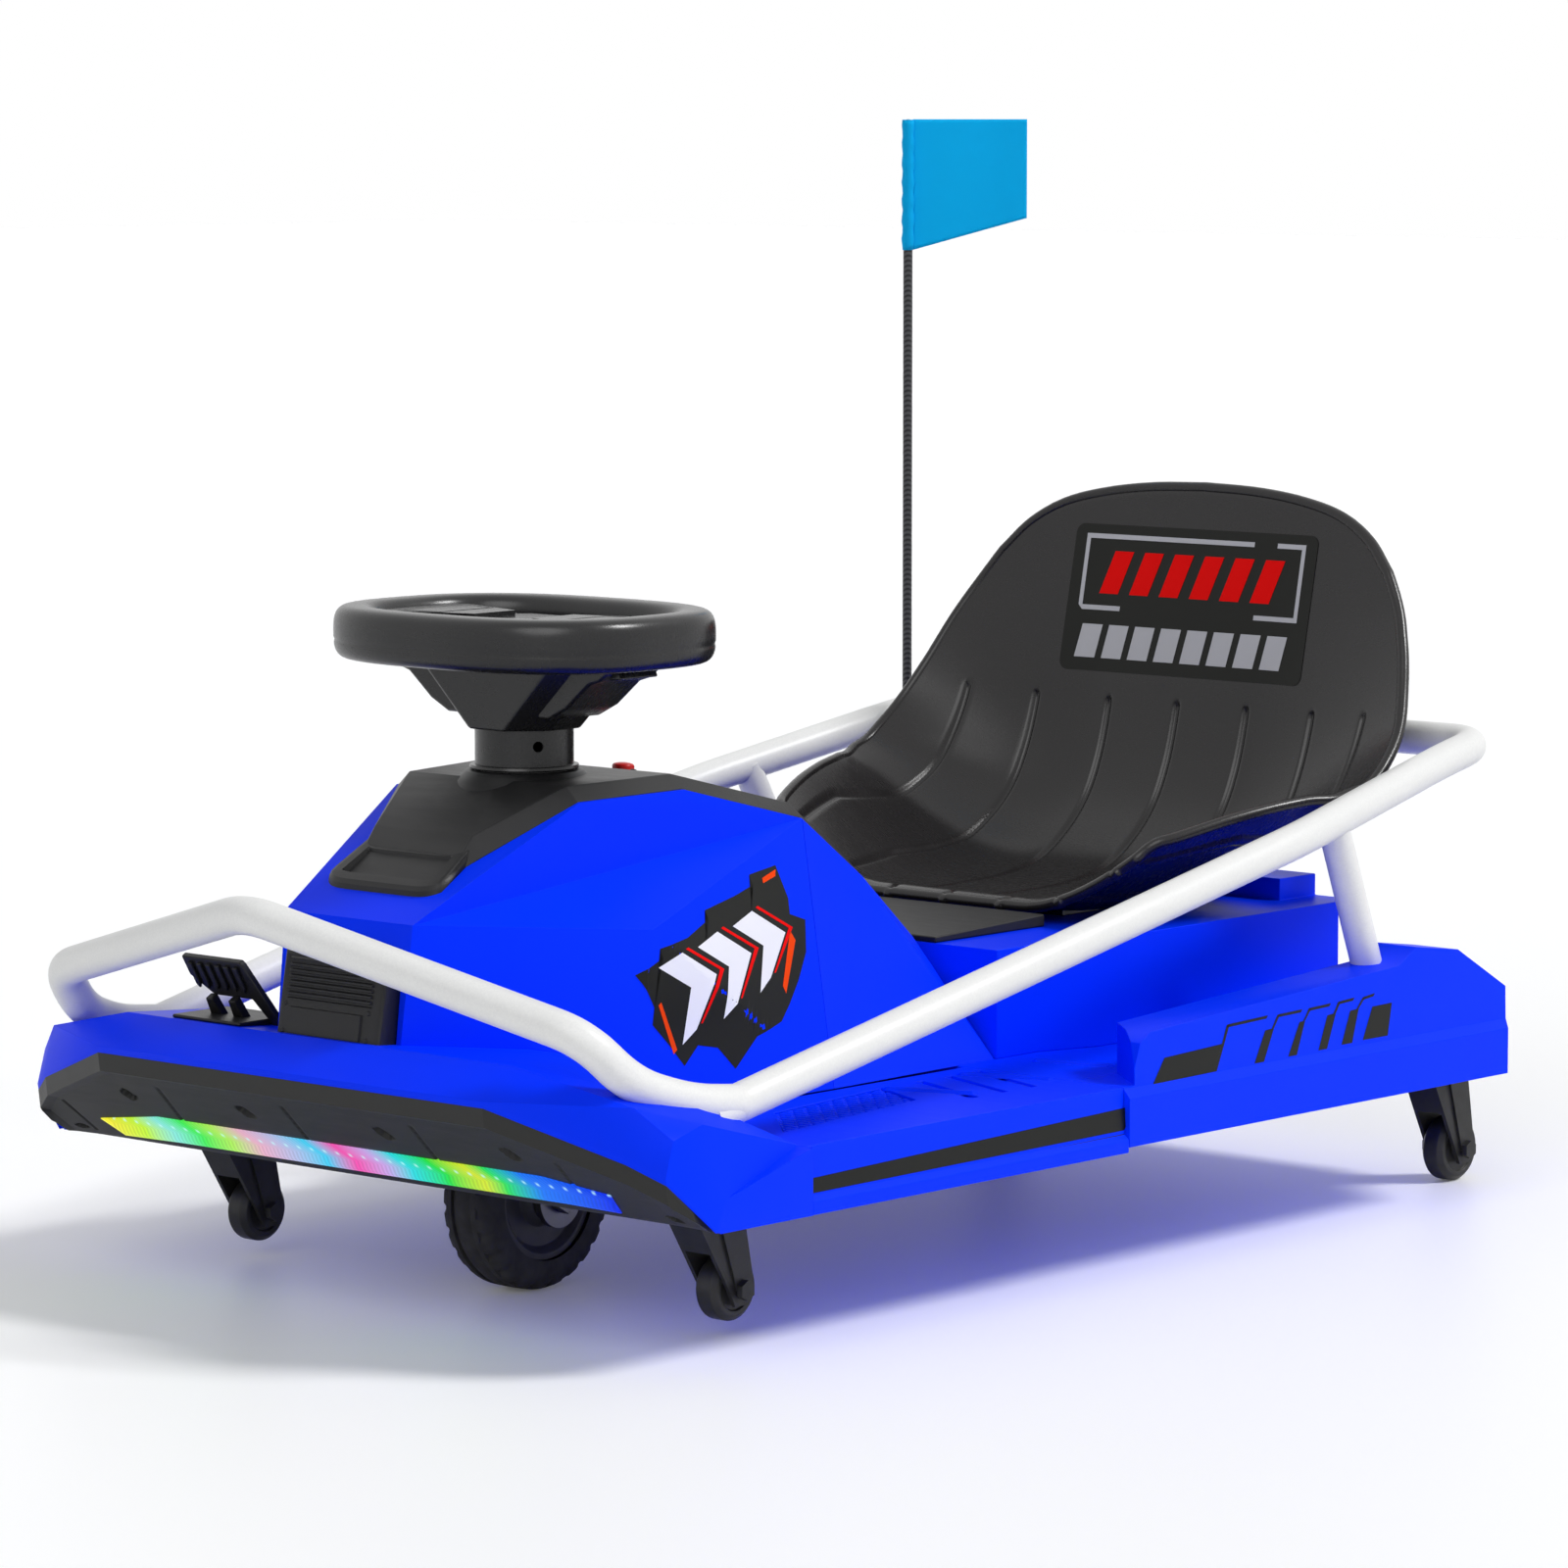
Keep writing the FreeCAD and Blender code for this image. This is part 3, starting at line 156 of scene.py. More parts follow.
@dataclass
class Effects:
    """The node groups for grain, mottle, rubbing and dust, each built once."""

    groups: dict[str, Any] = field(default_factory=dict)

    def grain(self) -> Any:
        """Give the group whose height is fine noise plus a pebbled cell pattern."""
        if "grain" not in self.groups:
            tree = new_group("moulded_grain", [("Place", "Vector"), ("Scale", "Float"), ("Pebble", "Float")],
                             [("Height", "Float")])
            start, end = wire(tree, "NodeGroupInput"), wire(tree, "NodeGroupOutput")
            noise = wire(tree, "TexNoise", {"Vector": start.outputs["Place"], "Scale": start.outputs["Scale"]},
                         {"Detail": 3.0, "Roughness": 0.6})
            cells = wire(tree, "TexVoronoi", {"Vector": start.outputs["Place"], "Scale": start.outputs["Scale"]})
            cells.feature = "SMOOTH_F1"
            mixed = wire(tree, "Math", {0: cells.outputs["Distance"], 1: start.outputs["Pebble"],
                                        2: noise.outputs["Fac"]}, operation="MULTIPLY_ADD")
            tree.links.new(mixed.outputs[0], end.inputs["Height"])
            self.groups["grain"] = tree
        return self.groups["grain"]

    def mottle(self) -> Any:
        """Give the group that drifts a colour towards a tint in soft broad clouds."""
        if "mottle" not in self.groups:
            tree = new_group("mottled_colour", [("Place", "Vector"), ("Colour", "Color"), ("Tint", "Color"),
                                                ("Scale", "Float"), ("Amount", "Float")], [("Colour", "Color")])
            start, end = wire(tree, "NodeGroupInput"), wire(tree, "NodeGroupOutput")
            noise = wire(tree, "TexNoise", {"Vector": start.outputs["Place"], "Scale": start.outputs["Scale"]},
                         {"Detail": 4.0})
            share = wire(tree, "Math", {0: noise.outputs["Fac"], 1: start.outputs["Amount"]}, operation="MULTIPLY")
            mix = wire(tree, "MixRGB", {"Fac": share.outputs[0], "Color1": start.outputs["Colour"],
                                        "Color2": start.outputs["Tint"]})
            tree.links.new(mix.outputs[0], end.inputs["Colour"])
            self.groups["mottle"] = tree
        return self.groups["mottle"]

    def rubbed(self) -> Any:
        """Give the group whose roughness wanders with noise and drops along fine drawn-out scuffs."""
        if "rubbed" not in self.groups:
            tree = new_group("rubbed_gloss", [("Place", "Vector"), ("Roughness", "Float"), ("Spread", "Float"),
                                              ("Scale", "Float")], [("Roughness", "Float")])
            start, end = wire(tree, "NodeGroupInput"), wire(tree, "NodeGroupOutput")
            long = wire(tree, "Mapping", {"Vector": start.outputs["Place"]}, {"Scale": (1.0, 6.0, 2.5)})
            scuffs = wire(tree, "TexNoise", {"Vector": long.outputs[0], "Scale": start.outputs["Scale"]},
                          {"Detail": 5.0, "Roughness": 0.7})
            centred = wire(tree, "Math", {0: scuffs.outputs["Fac"]}, {1: 0.5}, operation="SUBTRACT")
            out = wire(tree, "Math", {0: centred.outputs[0], 1: start.outputs["Spread"],
                                      2: start.outputs["Roughness"]}, operation="MULTIPLY_ADD", use_clamp=True)
            tree.links.new(out.outputs[0], end.inputs["Roughness"])
            self.groups["rubbed"] = tree
        return self.groups["rubbed"]

    def dust(self) -> Any:
        """Give the group whose mask is strongest near the floor and broken up by noise."""
        if "dust" not in self.groups:
            tree = new_group("floor_dust", [("Place", "Vector"), ("Reach", "Float"), ("Amount", "Float")],
                             [("Mask", "Float")])
            start, end = wire(tree, "NodeGroupInput"), wire(tree, "NodeGroupOutput")
            parts = wire(tree, "SeparateXYZ", {0: start.outputs["Place"]})
            low = wire(tree, "Math", {0: parts.outputs["Z"], 1: start.outputs["Reach"]}, operation="DIVIDE")
            near = wire(tree, "Math", {1: low.outputs[0]}, {0: 1.0}, operation="SUBTRACT", use_clamp=True)
            noise = wire(tree, "TexNoise", {"Vector": start.outputs["Place"]}, {"Scale": 90.0, "Detail": 4.0})
            both = wire(tree, "Math", {0: near.outputs[0], 1: noise.outputs["Fac"]}, operation="MULTIPLY")
            mask = wire(tree, "Math", {0: both.outputs[0], 1: start.outputs["Amount"]}, operation="MULTIPLY",
                        use_clamp=True)
            tree.links.new(mask.outputs[0], end.inputs["Mask"])
            self.groups["dust"] = tree
        return self.groups["dust"]


EFFECTS = Effects()


def use_group(tree: Any, group: Any, links: dict[str, Any], values: dict[str, Any]) -> Any:
    """Place a node group in a material with its links and values."""
    node = tree.nodes.new("ShaderNodeGroup")
    node.node_tree = group
    for key, value in values.items():
        node.inputs[key].default_value = value
    for key, socket in links.items():
        tree.links.new(socket, node.inputs[key])
    return node


@dataclass(frozen=True)
class Finish:
    """One moulded, painted or rubber finish."""

    name: str
    slot: Slot
    colour: tuple[float, float, float]
    tint: tuple[float, float, float]
    roughness: float = 0.4
    spread: float = 0.12
    metallic: float = 0.0
    coat: float = 0.0
    mottle: float = 0.3
    grain_scale: float = 1400.0
    grain_height: float = 0.04
    pebble: float = 0.0
    dust: float = 0.0
    specular: float = 0.3

    def material(self) -> Any:
        """Give the finish's material, built at its first use."""
        found = bpy.data.materials.get(self.name)
        return found if found is not None else self.build()

    def build(self) -> Any:
        """Build the material from the shared effects."""
        material = bpy.data.materials.new(self.name)
        material.use_nodes = True
        tree = material.node_tree
        shader = tree.nodes["Principled BSDF"]
        place = wire(tree, "TexCoord").outputs["Object"]
        colour = use_group(tree, EFFECTS.mottle(), {"Place": place}, {
            "Colour": (*self.colour, 1.0), "Tint": (*self.tint, 1.0), "Scale": 9.0, "Amount": self.mottle})
        shown = colour.outputs["Colour"]
        if self.dust:
            mask = use_group(tree, EFFECTS.dust(), {"Place": place}, {"Reach": 0.16, "Amount": self.dust})
            shown = wire(tree, "MixRGB", {"Fac": mask.outputs["Mask"], "Color1": shown},
                         {"Color2": (0.28, 0.27, 0.25, 1.0)}).outputs[0]
        tree.links.new(self.pattern(tree, place, shown), shader.inputs["Base Color"])
        rough = use_group(tree, EFFECTS.rubbed(), {"Place": place}, {
            "Roughness": self.roughness, "Spread": self.spread, "Scale": 22.0})
        tree.links.new(rough.outputs["Roughness"], shader.inputs["Roughness"])
        shader.inputs["Metallic"].default_value = self.metallic
        shader.inputs["Coat Weight"].default_value = self.coat
        shader.inputs["Coat Roughness"].default_value = 0.12
        shader.inputs["Specular IOR Level"].default_value = self.specular
        height = use_group(tree, EFFECTS.grain(), {"Place": place}, {"Scale": self.grain_scale, "Pebble": self.pebble})
        bump = wire(tree, "Bump", {"Height": self.relief(tree, place, height.outputs["Height"])},
                    {"Strength": 1.0, "Distance": self.grain_height / 1000.0})
        tree.links.new(bump.outputs["Normal"], shader.inputs["Normal"])
        return material

    def pattern(self, tree: Any, place: Any, colour: Any) -> Any:
        """Give the colour socket, which a finish with a pattern changes."""
        return colour

    def relief(self, tree: Any, place: Any, height: Any) -> Any:
        """Give the height socket, which a finish with a relief changes."""
        return height


@dataclass(frozen=True)
class WoundFibre(Finish):
    """A rod wound with a two-tone spiral thread."""

    def pattern(self, tree: Any, place: Any, colour: Any) -> Any:
        """Cross the colour with a spiral, a wave along Z turned by X and Y."""
        slanted = wire(tree, "Mapping", {"Vector": place}, {"Rotation": (0.5, 0.5, 0.0)})
        wave = wire(tree, "TexWave", {"Vector": slanted.outputs[0]}, {"Scale": 95.0, "Distortion": 0.6},
                    bands_direction="Z")
        return wire(tree, "MixRGB", {"Fac": wave.outputs["Fac"], "Color1": colour},
                    {"Color2": (0.075, 0.075, 0.08, 1.0)}).outputs[0]


@dataclass(frozen=True)
class PearlPaint(Finish):
    """A pale powder coat with fine darker and brighter flecks."""

    def pattern(self, tree: Any, place: Any, colour: Any) -> Any:
        """Mix in flecks from small random cells."""
        cells = wire(tree, "TexVoronoi", {"Vector": place}, {"Scale": 900.0})
        fleck = wire(tree, "Math", {0: cells.outputs["Color"]}, {1: 0.28}, operation="MULTIPLY")
        return wire(tree, "MixRGB", {"Fac": fleck.outputs[0], "Color1": colour},
                    {"Color2": (0.60, 0.60, 0.61, 1.0)}).outputs[0]


@dataclass(frozen=True)
class WovenCloth(Finish):
    """A plain weave that follows the piece's own UV map."""

    def relief(self, tree: Any, place: Any, height: Any) -> Any:
        """Add the crossing threads to the grain."""
        flat = wire(tree, "TexCoord").outputs["UV"]
        over = wire(tree, "TexWave", {"Vector": flat}, {"Scale": 55.0}, bands_direction="X")
        under = wire(tree, "TexWave", {"Vector": flat}, {"Scale": 52.0}, bands_direction="Y")
        woven = wire(tree, "Math", {0: over.outputs["Fac"], 1: under.outputs["Fac"]}, operation="MULTIPLY")
        return wire(tree, "Math", {0: woven.outputs[0], 1: height}, operation="ADD").outputs[0]


@dataclass(frozen=True)
class LitLens(Finish):
    """A lens strip with small lamps behind it, each of its own colour."""

    half_length: float = 0.262
    stops: tuple[tuple[float, tuple[float, float, float]], ...] = (
        (0.00, (0.90, 0.85, 0.02)), (0.07, (0.55, 0.95, 0.02)), (0.13, (0.25, 0.85, 0.75)), (0.19, (0.04, 0.90, 0.08)),
        (0.25, (0.45, 0.90, 0.10)), (0.31, (0.85, 0.45, 0.60)), (0.38, (0.45, 0.55, 0.85)), (0.44, (0.04, 0.65, 0.95)),
        (0.50, (0.95, 0.08, 0.45)), (0.56, (0.60, 0.40, 0.85)), (0.61, (0.02, 0.75, 0.80)), (0.68, (0.01, 0.80, 0.05)),
        (0.75, (0.70, 0.85, 0.02)), (0.79, (0.02, 0.80, 0.10)), (0.86, (0.01, 0.20, 1.0)), (1.00, (0.0, 0.02, 0.90)),
    )

    def build(self) -> Any:
        """Build the lens with colours along X and bright spots over the lamps."""
        material = super().build()
        tree = material.node_tree
        shader = tree.nodes["Principled BSDF"]
        place = wire(tree, "TexCoord").outputs["Object"]
        parts = wire(tree, "SeparateXYZ", {0: place})
        off = wire(tree, "Math", {0: parts.outputs["Z"]}, {1: 0.1185}, operation="SUBTRACT")
        fold = wire(tree, "Math", {0: off.outputs[0]}, operation="ABSOLUTE")
        along = wire(tree, "Math", {0: fold.outputs[0], 2: parts.outputs["X"]}, {1: 0.9}, operation="MULTIPLY_ADD")
        share = wire(tree, "MapRange", {0: along.outputs[0]}, {1: -self.half_length, 2: self.half_length})
        ramp = wire(tree, "ValToRGB", {0: share.outputs[0]})
        stops = ramp.color_ramp.elements
        while len(stops) < len(self.stops):
            stops.new(0.5)
        for stop, (at, colour) in zip(stops, self.stops):
            stop.position = at
            stop.color = (*colour, 1.0)
        fine = wire(tree, "Math", {0: share.outputs[0]}, {1: 2.0 * math.pi * 130.0}, operation="MULTIPLY")
        ripple = wire(tree, "MapRange", {0: wire(tree, "Math", {0: fine.outputs[0]}, operation="COSINE").outputs[0]},
                      {1: -1.0, 2: 1.0, 3: 0.80, 4: 1.0})
        base = wire(tree, "MixRGB", {"Fac": ripple.outputs[0], "Color2": ramp.outputs[0]},
                    {"Color1": (0.0, 0.0, 0.02, 1.0)})
        beat = wire(tree, "Math", {0: parts.outputs["X"]}, {1: 2.0 * math.pi / 0.0135}, operation="MULTIPLY")
        wave = wire(tree, "Math", {0: beat.outputs[0]}, operation="COSINE")
        near = wire(tree, "MapRange", {0: wave.outputs[0]}, {1: 0.55, 2: 1.0})
        level = wire(tree, "Math", {0: parts.outputs["Z"]}, {1: 0.1232}, operation="SUBTRACT")
        flat = wire(tree, "Math", {0: level.outputs[0]}, operation="ABSOLUTE")
        band = wire(tree, "MapRange", {0: flat.outputs[0]}, {1: 0.0, 2: 0.0022, 3: 0.75, 4: 0.0})
        spot = wire(tree, "Math", {0: near.outputs[0], 1: band.outputs[0]}, operation="MULTIPLY")
        lit = wire(tree, "MixRGB", {"Fac": spot.outputs[0], "Color1": base.outputs[0]},
                   {"Color2": (0.55, 1.0, 1.0, 1.0)})
        tree.links.new(lit.outputs[0], shader.inputs["Emission Color"])
        shader.inputs["Emission Strength"].default_value = 1.0
        return material


BLUE = Finish("blue_gloss_moulding", Slot.BLUE, (0.0, 0.030, 0.95), (0.0, 0.045, 0.98), 0.40, 0.08,
              grain_scale=520.0, grain_height=0.02, specular=0.06)
BLACK = Finish("black_satin_moulding", Slot.BLACK, (0.008, 0.008, 0.0085), (0.014, 0.014, 0.015), 0.42, 0.16,
               grain_scale=1500.0, grain_height=0.08, pebble=0.6)
FASCIA = Finish("grey_bumper_moulding", Slot.BLACK, (0.016, 0.016, 0.015), (0.024, 0.024, 0.023), 0.46, 0.14,
                grain_scale=1500.0, grain_height=0.08, pebble=0.6)
GRIP = Finish("black_grip_moulding", Slot.BLACK, (0.007, 0.007, 0.0075), (0.013, 0.013, 0.014), 0.27, 0.12,
              grain_scale=1100.0, grain_height=0.04, pebble=0.4, specular=0.42)
SEAT = Finish("black_seat_moulding", Slot.SEAT, (0.0085, 0.0075, 0.008), (0.014, 0.0125, 0.013), 0.27, 0.10,
              grain_scale=900.0, grain_height=0.03, pebble=0.5, specular=0.40)
WHITE = PearlPaint("pearl_white_tube", Slot.WHITE, (0.80, 0.80, 0.785), (0.72, 0.72, 0.71), 0.34, 0.08,
                   grain_scale=420.0, grain_height=0.02)
STEEL = Finish("black_oxide_steel", Slot.STEEL, (0.16, 0.16, 0.165), (0.10, 0.10, 0.105), 0.36, 0.2, metallic=1.0,
               grain_scale=700.0, grain_height=0.03)
TYRE = Finish("tyre_tread_rubber", Slot.TYRE, (0.010, 0.010, 0.010), (0.022, 0.021, 0.020), 0.62, 0.2, mottle=0.5,
              grain_scale=1300.0, grain_height=0.12, pebble=0.5, dust=0.22, specular=0.2)
HUB = Finish("grey_hub_moulding", Slot.HUB, (0.035, 0.035, 0.037), (0.055, 0.055, 0.055), 0.42, 0.12, dust=0.15)
CASTER = Finish("black_nylon", Slot.CASTER, (0.008, 0.008, 0.008), (0.018, 0.018, 0.017), 0.42, 0.16,
                grain_scale=1000.0, grain_height=0.06, pebble=0.4, dust=0.12)
LENS = LitLens("lit_lens_strip", Slot.LENS, (0.004, 0.005, 0.006), (0.006, 0.007, 0.008), 0.30, 0.05, specular=0.1)
CLOTH = WovenCloth("light_blue_cloth", Slot.CLOTH, (0.0, 0.46, 0.93), (0.0, 0.52, 0.97), 0.72, 0.1,
                   grain_scale=800.0, grain_height=0.18, specular=0.1)
POLE = WoundFibre("wound_fibre_rod", Slot.POLE, (0.008, 0.008, 0.009), (0.02, 0.02, 0.022), 0.36, 0.1)
BATTERY = Finish("battery_wrap", Slot.BATTERY, (0.03, 0.05, 0.12), (0.05, 0.07, 0.15), 0.45, 0.1)
PRINT_BLACK = Finish("printed_black", Slot.BLACK, (0.004, 0.0045, 0.003), (0.008, 0.008, 0.007), 0.34, 0.08,
                     specular=0.2)
PRINT_WHITE = Finish("printed_white", Slot.WHITE, (0.88, 0.88, 0.88), (0.83, 0.83, 0.83), 0.34, 0.08, specular=0.1)
PRINT_GREY = Finish("printed_grey", Slot.WHITE, (0.50, 0.50, 0.53), (0.44, 0.44, 0.47), 0.34, 0.08, specular=0.1)
PRINT_RED = Finish("printed_red", Slot.BLACK, (0.86, 0.004, 0.004), (0.80, 0.008, 0.006), 0.34, 0.08, specular=0.05)
PRINT_ORANGE = Finish("printed_orange", Slot.BLACK, (0.92, 0.06, 0.004), (0.88, 0.08, 0.01), 0.34, 0.08,
                      specular=0.05)
BUTTON = Finish("red_button_moulding", Slot.BLACK, (0.62, 0.004, 0.004), (0.55, 0.01, 0.01), 0.30, 0.08)

SLOT_FINISH = {
    Slot.BLUE: BLUE, Slot.BLACK: BLACK, Slot.WHITE: WHITE, Slot.SEAT: SEAT, Slot.STEEL: STEEL, Slot.TYRE: TYRE,
    Slot.HUB: HUB, Slot.CASTER: CASTER, Slot.LENS: LENS, Slot.CLOTH: CLOTH, Slot.POLE: POLE, Slot.BATTERY: BATTERY,
}


# Surfaces worked out as grids


def grid_object(name: str, points: np.ndarray, wrap_rows: bool = False, wrap_columns: bool = False,
                cap: bool = False) -> Any:
    """Make a mesh from a grid of points.

    Args:
        name: the piece's name.
        points: rows by columns by three, in metres.
        wrap_rows: the last row joins the first.
        wrap_columns: the last column joins the first.
        cap: a face closes each end row.

    Returns:
        The object, its faces joining point (i, j) to (i + 1, j), (i + 1, j + 1) and (i, j + 1).
    """
    rows, columns = points.shape[:2]
    i = np.arange(rows if wrap_rows else rows - 1)
    j = np.arange(columns if wrap_columns else columns - 1)
    ahead, beside = (i + 1) % rows, (j + 1) % columns
    quads = np.stack([
        i[:, None] * columns + j, ahead[:, None] * columns + j,
        ahead[:, None] * columns + beside, i[:, None] * columns + beside], -1).reshape(-1, 4)
    faces = quads.tolist()
    if cap:
        faces.append(list(range(columns)))
        faces.append([(rows - 1) * columns + k for k in reversed(range(columns))])
    mesh = bpy.data.meshes.new(name)
    mesh.from_pydata(points.reshape(-1, 3).tolist(), [], faces)
    layer = mesh.uv_layers.new(name="UVMap")
    corner = np.empty(len(mesh.loops), np.int32)
    mesh.loops.foreach_get("vertex_index", corner)
    flat = np.stack([(corner // columns) / max(rows - 1, 1), (corner % columns) / max(columns - 1, 1)], -1)
    layer.data.foreach_set("uv", flat.astype(np.float32).ravel())
    mend(mesh)
    shape = bpy.data.objects.new(name, mesh)
    bpy.context.scene.collection.objects.link(shape)
    return shape


def mend(mesh: Any, gap: float = 1e-6, flat_angle: float = 0.0) -> None:
    """Merge a mesh's doubles and turn its faces outwards.

    Args:
        mesh: the mesh.
        gap: points nearer than this are merged.
        flat_angle: faces that meet at less than this angle are joined, where it isn't zero.
    """
    work = bmesh.new()
    work.from_mesh(mesh)
    bmesh.ops.remove_doubles(work, verts=work.verts, dist=gap)
    bmesh.ops.dissolve_degenerate(work, edges=work.edges, dist=gap)
    if flat_angle:
        bmesh.ops.dissolve_limit(work, angle_limit=flat_angle, verts=work.verts, edges=work.edges)
    bmesh.ops.recalc_face_normals(work, faces=work.faces)
    work.to_mesh(mesh)
    work.free()
    mesh.update()


def smooth(shape: Any, angle: float = 35.0) -> Any:
    """Shade a piece smooth, with edges sharper than an angle kept."""
    mesh = shape.data
    mesh.polygons.foreach_set("use_smooth", np.ones(len(mesh.polygons), bool))
    mesh.set_sharp_from_angle(angle=math.radians(angle))
    mesh.update()
    return shape


def catmull(values: np.ndarray, places: np.ndarray) -> np.ndarray:
    """Read a table of rows smoothly between its rows.

    Args:
        values: rows by columns.
        places: places between 0 and the last row's number.

    Returns:
        The cubic through the four rows about each place, with tangents half the chord of a row's neighbours.
    """
    table = np.vstack([2 * values[0] - values[1], values, 2 * values[-1] - values[-2]])
    i = np.clip(places.astype(int), 0, len(values) - 2)
    t = (places - i)[:, None]
    a, b, c, d = table[i], table[i + 1], table[i + 2], table[i + 3]
    return 0.5 * (2 * b + (c - a) * t + (2 * a - 5 * b + 4 * c - d) * t**2 + (3 * b - a - 3 * c + d) * t**3)


def rounded(points: Sequence[Sequence[float]], reach: float, steps: int = 12) -> np.ndarray:
    """Round a path's corners.

    Args:
        points: the path's corners.
        reach: how far from a corner its curve starts, held to 0.45 of the run.
        steps: points along each curve.

    Returns:
        The path, each corner c swapped for (1 - t)**2 * a + 2 * t * (1 - t) * c + t**2 * b.
    """
    corners = np.array(points, float)
    t = np.linspace(0, 1, steps)[:, None]
    parts = [corners[:1]]
    for before, corner, after in zip(corners, corners[1:], corners[2:]):
        first = corner + (before - corner) * min(reach / np.linalg.norm(before - corner), 0.45)
        last = corner + (after - corner) * min(reach / np.linalg.norm(after - corner), 0.45)
        parts.append((1 - t) ** 2 * first + 2 * t * (1 - t) * corner + t**2 * last)
    return np.vstack([*parts, corners[-1:]])


def tube(name: str, path: np.ndarray, radius: float, sides: int = 28) -> Any:
    """Carry a circle along a path that is never upright.

    Args:
        name: the piece's name.
        path: the path's points in millimetres.
        radius: the tube's radius.
        sides: points round it.

    Returns:
        The tube, path + radius * (cos(a) * side + sin(a) * up) with side level and up square to it.
    """
    way = np.gradient(path, axis=0)
    side = np.cross(way, [0.0, 0.0, 1.0])
    side /= np.linalg.norm(side, axis=1)[:, None]
    up = np.cross(side, way)
    up /= np.linalg.norm(up, axis=1)[:, None]
    turn = np.linspace(0, 2 * math.pi, sides + 1)[:-1][None, :, None]
    points = path[:, None] + radius * (np.cos(turn) * side[:, None] + np.sin(turn) * up[:, None])
    return smooth(grid_object(name, placed(points), wrap_columns=True, cap=True), 50)


def turned(name: str, profile: Sequence[tuple[float, float]], sides: int = 64) -> Any:
    """Turn a closed profile of radius and height about the steering axis."""
    flat = np.array(profile, float)
    turn = np.linspace(0, 2 * math.pi, sides + 1)[:-1]
    points = np.stack([flat[:, :1] * np.cos(turn), flat[:, :1] * np.sin(turn),
                       np.repeat(flat[:, 1:], sides, 1)], -1)
    return smooth(grid_object(name, placed(points), wrap_rows=True, wrap_columns=True), 40)


def prism(name: str, outline: Sequence[Sequence[float]], way: Sequence[float], width: float = 0.0) -> Any:
    """Push a flat outline along a way.

    Args:
        name: the piece's name.
        outline: the outline's corners in millimetres.
        way: how far and where it is pushed.
        width: the rounding of its edges, or zero for sharp ones.

    Returns:
        The piece, outline + t * way for t from 0 to 1, closed at both ends.
    """
    flat = np.array(outline, float)
    points = flat[None] + np.array([[0.0], [1.0]])[:, :, None] * np.array(way, float)
    shape = smooth(grid_object(name, placed(points), wrap_columns=True, cap=True), 30)
    if width:
        modifier(shape, "BEVEL", width=width / 1000.0, segments=3, limit_method="ANGLE",
                 angle_limit=math.radians(28), harden_normals=True)
    return shape


def modifier(shape: Any, kind: str, **settings: Any) -> Any:
    """Add a modifier with its settings."""
    added = shape.modifiers.new(kind.lower(), kind)
    for name, value in settings.items():
        setattr(added, name, value)
    return added


def dress(shape: Any, finish: Finish, body: str, replaced: Sequence[str] = ()) -> Any:
    """Give a piece its finish, its body and the nodes that it stands for.

    Args:
        shape: the piece.
        finish: its finish.
        body: the body that it rides on.
        replaced: names of the nodes that it stands for.

    Returns:
        The piece.
    """
    shape.data.materials.clear()
    shape.data.materials.append(finish.material())
    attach(shape, body)
    if replaced:
        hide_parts(*replaced)
    LOG.info("%s rides on %s in %s", shape.name, body, finish.name)
    return shape


@dataclass
class Kart:
    """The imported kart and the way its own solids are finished."""

    frame: dict[str, Any]

    def body_of(self, node: str) -> str:
        """Give the body that a node rides on."""
        return self.frame["nodes"][node]["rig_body"]

    def slot_of(self, node: str) -> Slot:
        """Give the record's slot of a node."""
        for part in self.frame["record"]["subparts"]:
            if part["node"] == node:
                return Slot(part["material_slot"])
        return Slot.BLACK

    def soften(self, node: str, width: float, finish: Finish | None = None, segments: int = 3,
               angle: float = 28.0) -> Any:
        """Stand a copy with rounded edges for a node.

        Args:
            node: the CAD node.
            width: the rounding's width in millimetres.
            finish: the finish, where it isn't the slot's own.
            segments: steps across the rounding.
            angle: edges sharper than this are rounded.

        Returns:
            The copy, its doubles merged, its flat faces joined and its sharp edges bevelled.
        """
        mesh = self.frame["nodes"][node].data.copy()
        mesh.name = node + "_soft"
        mend(mesh, 2e-5, math.radians(0.6))
        shape = bpy.data.objects.new(node + "_soft", mesh)
        bpy.context.scene.collection.objects.link(shape)
        mesh.polygons.foreach_set("use_smooth", np.ones(len(mesh.polygons), bool))
        if mesh.attributes.get("custom_normal"):
            mesh.attributes.remove(mesh.attributes["custom_normal"])
        modifier(shape, "BEVEL", width=width / 1000.0, segments=segments, limit_method="ANGLE",
                 angle_limit=math.radians(angle), harden_normals=True, use_clamp_overlap=True)
        slot = self.slot_of(node)
        return dress(shape, finish or SLOT_FINISH[slot], self.body_of(node), [node])

    def keep(self, node: str, finish: Finish) -> None:
        """Show a node as it is, with a finish in its slots."""
        shape = self.frame["nodes"][node]
        shape.data.materials.clear()
        shape.data.materials.append(finish.material())
        LOG.info("%s keeps its solid in %s", node, finish.name)


# The blue mouldings


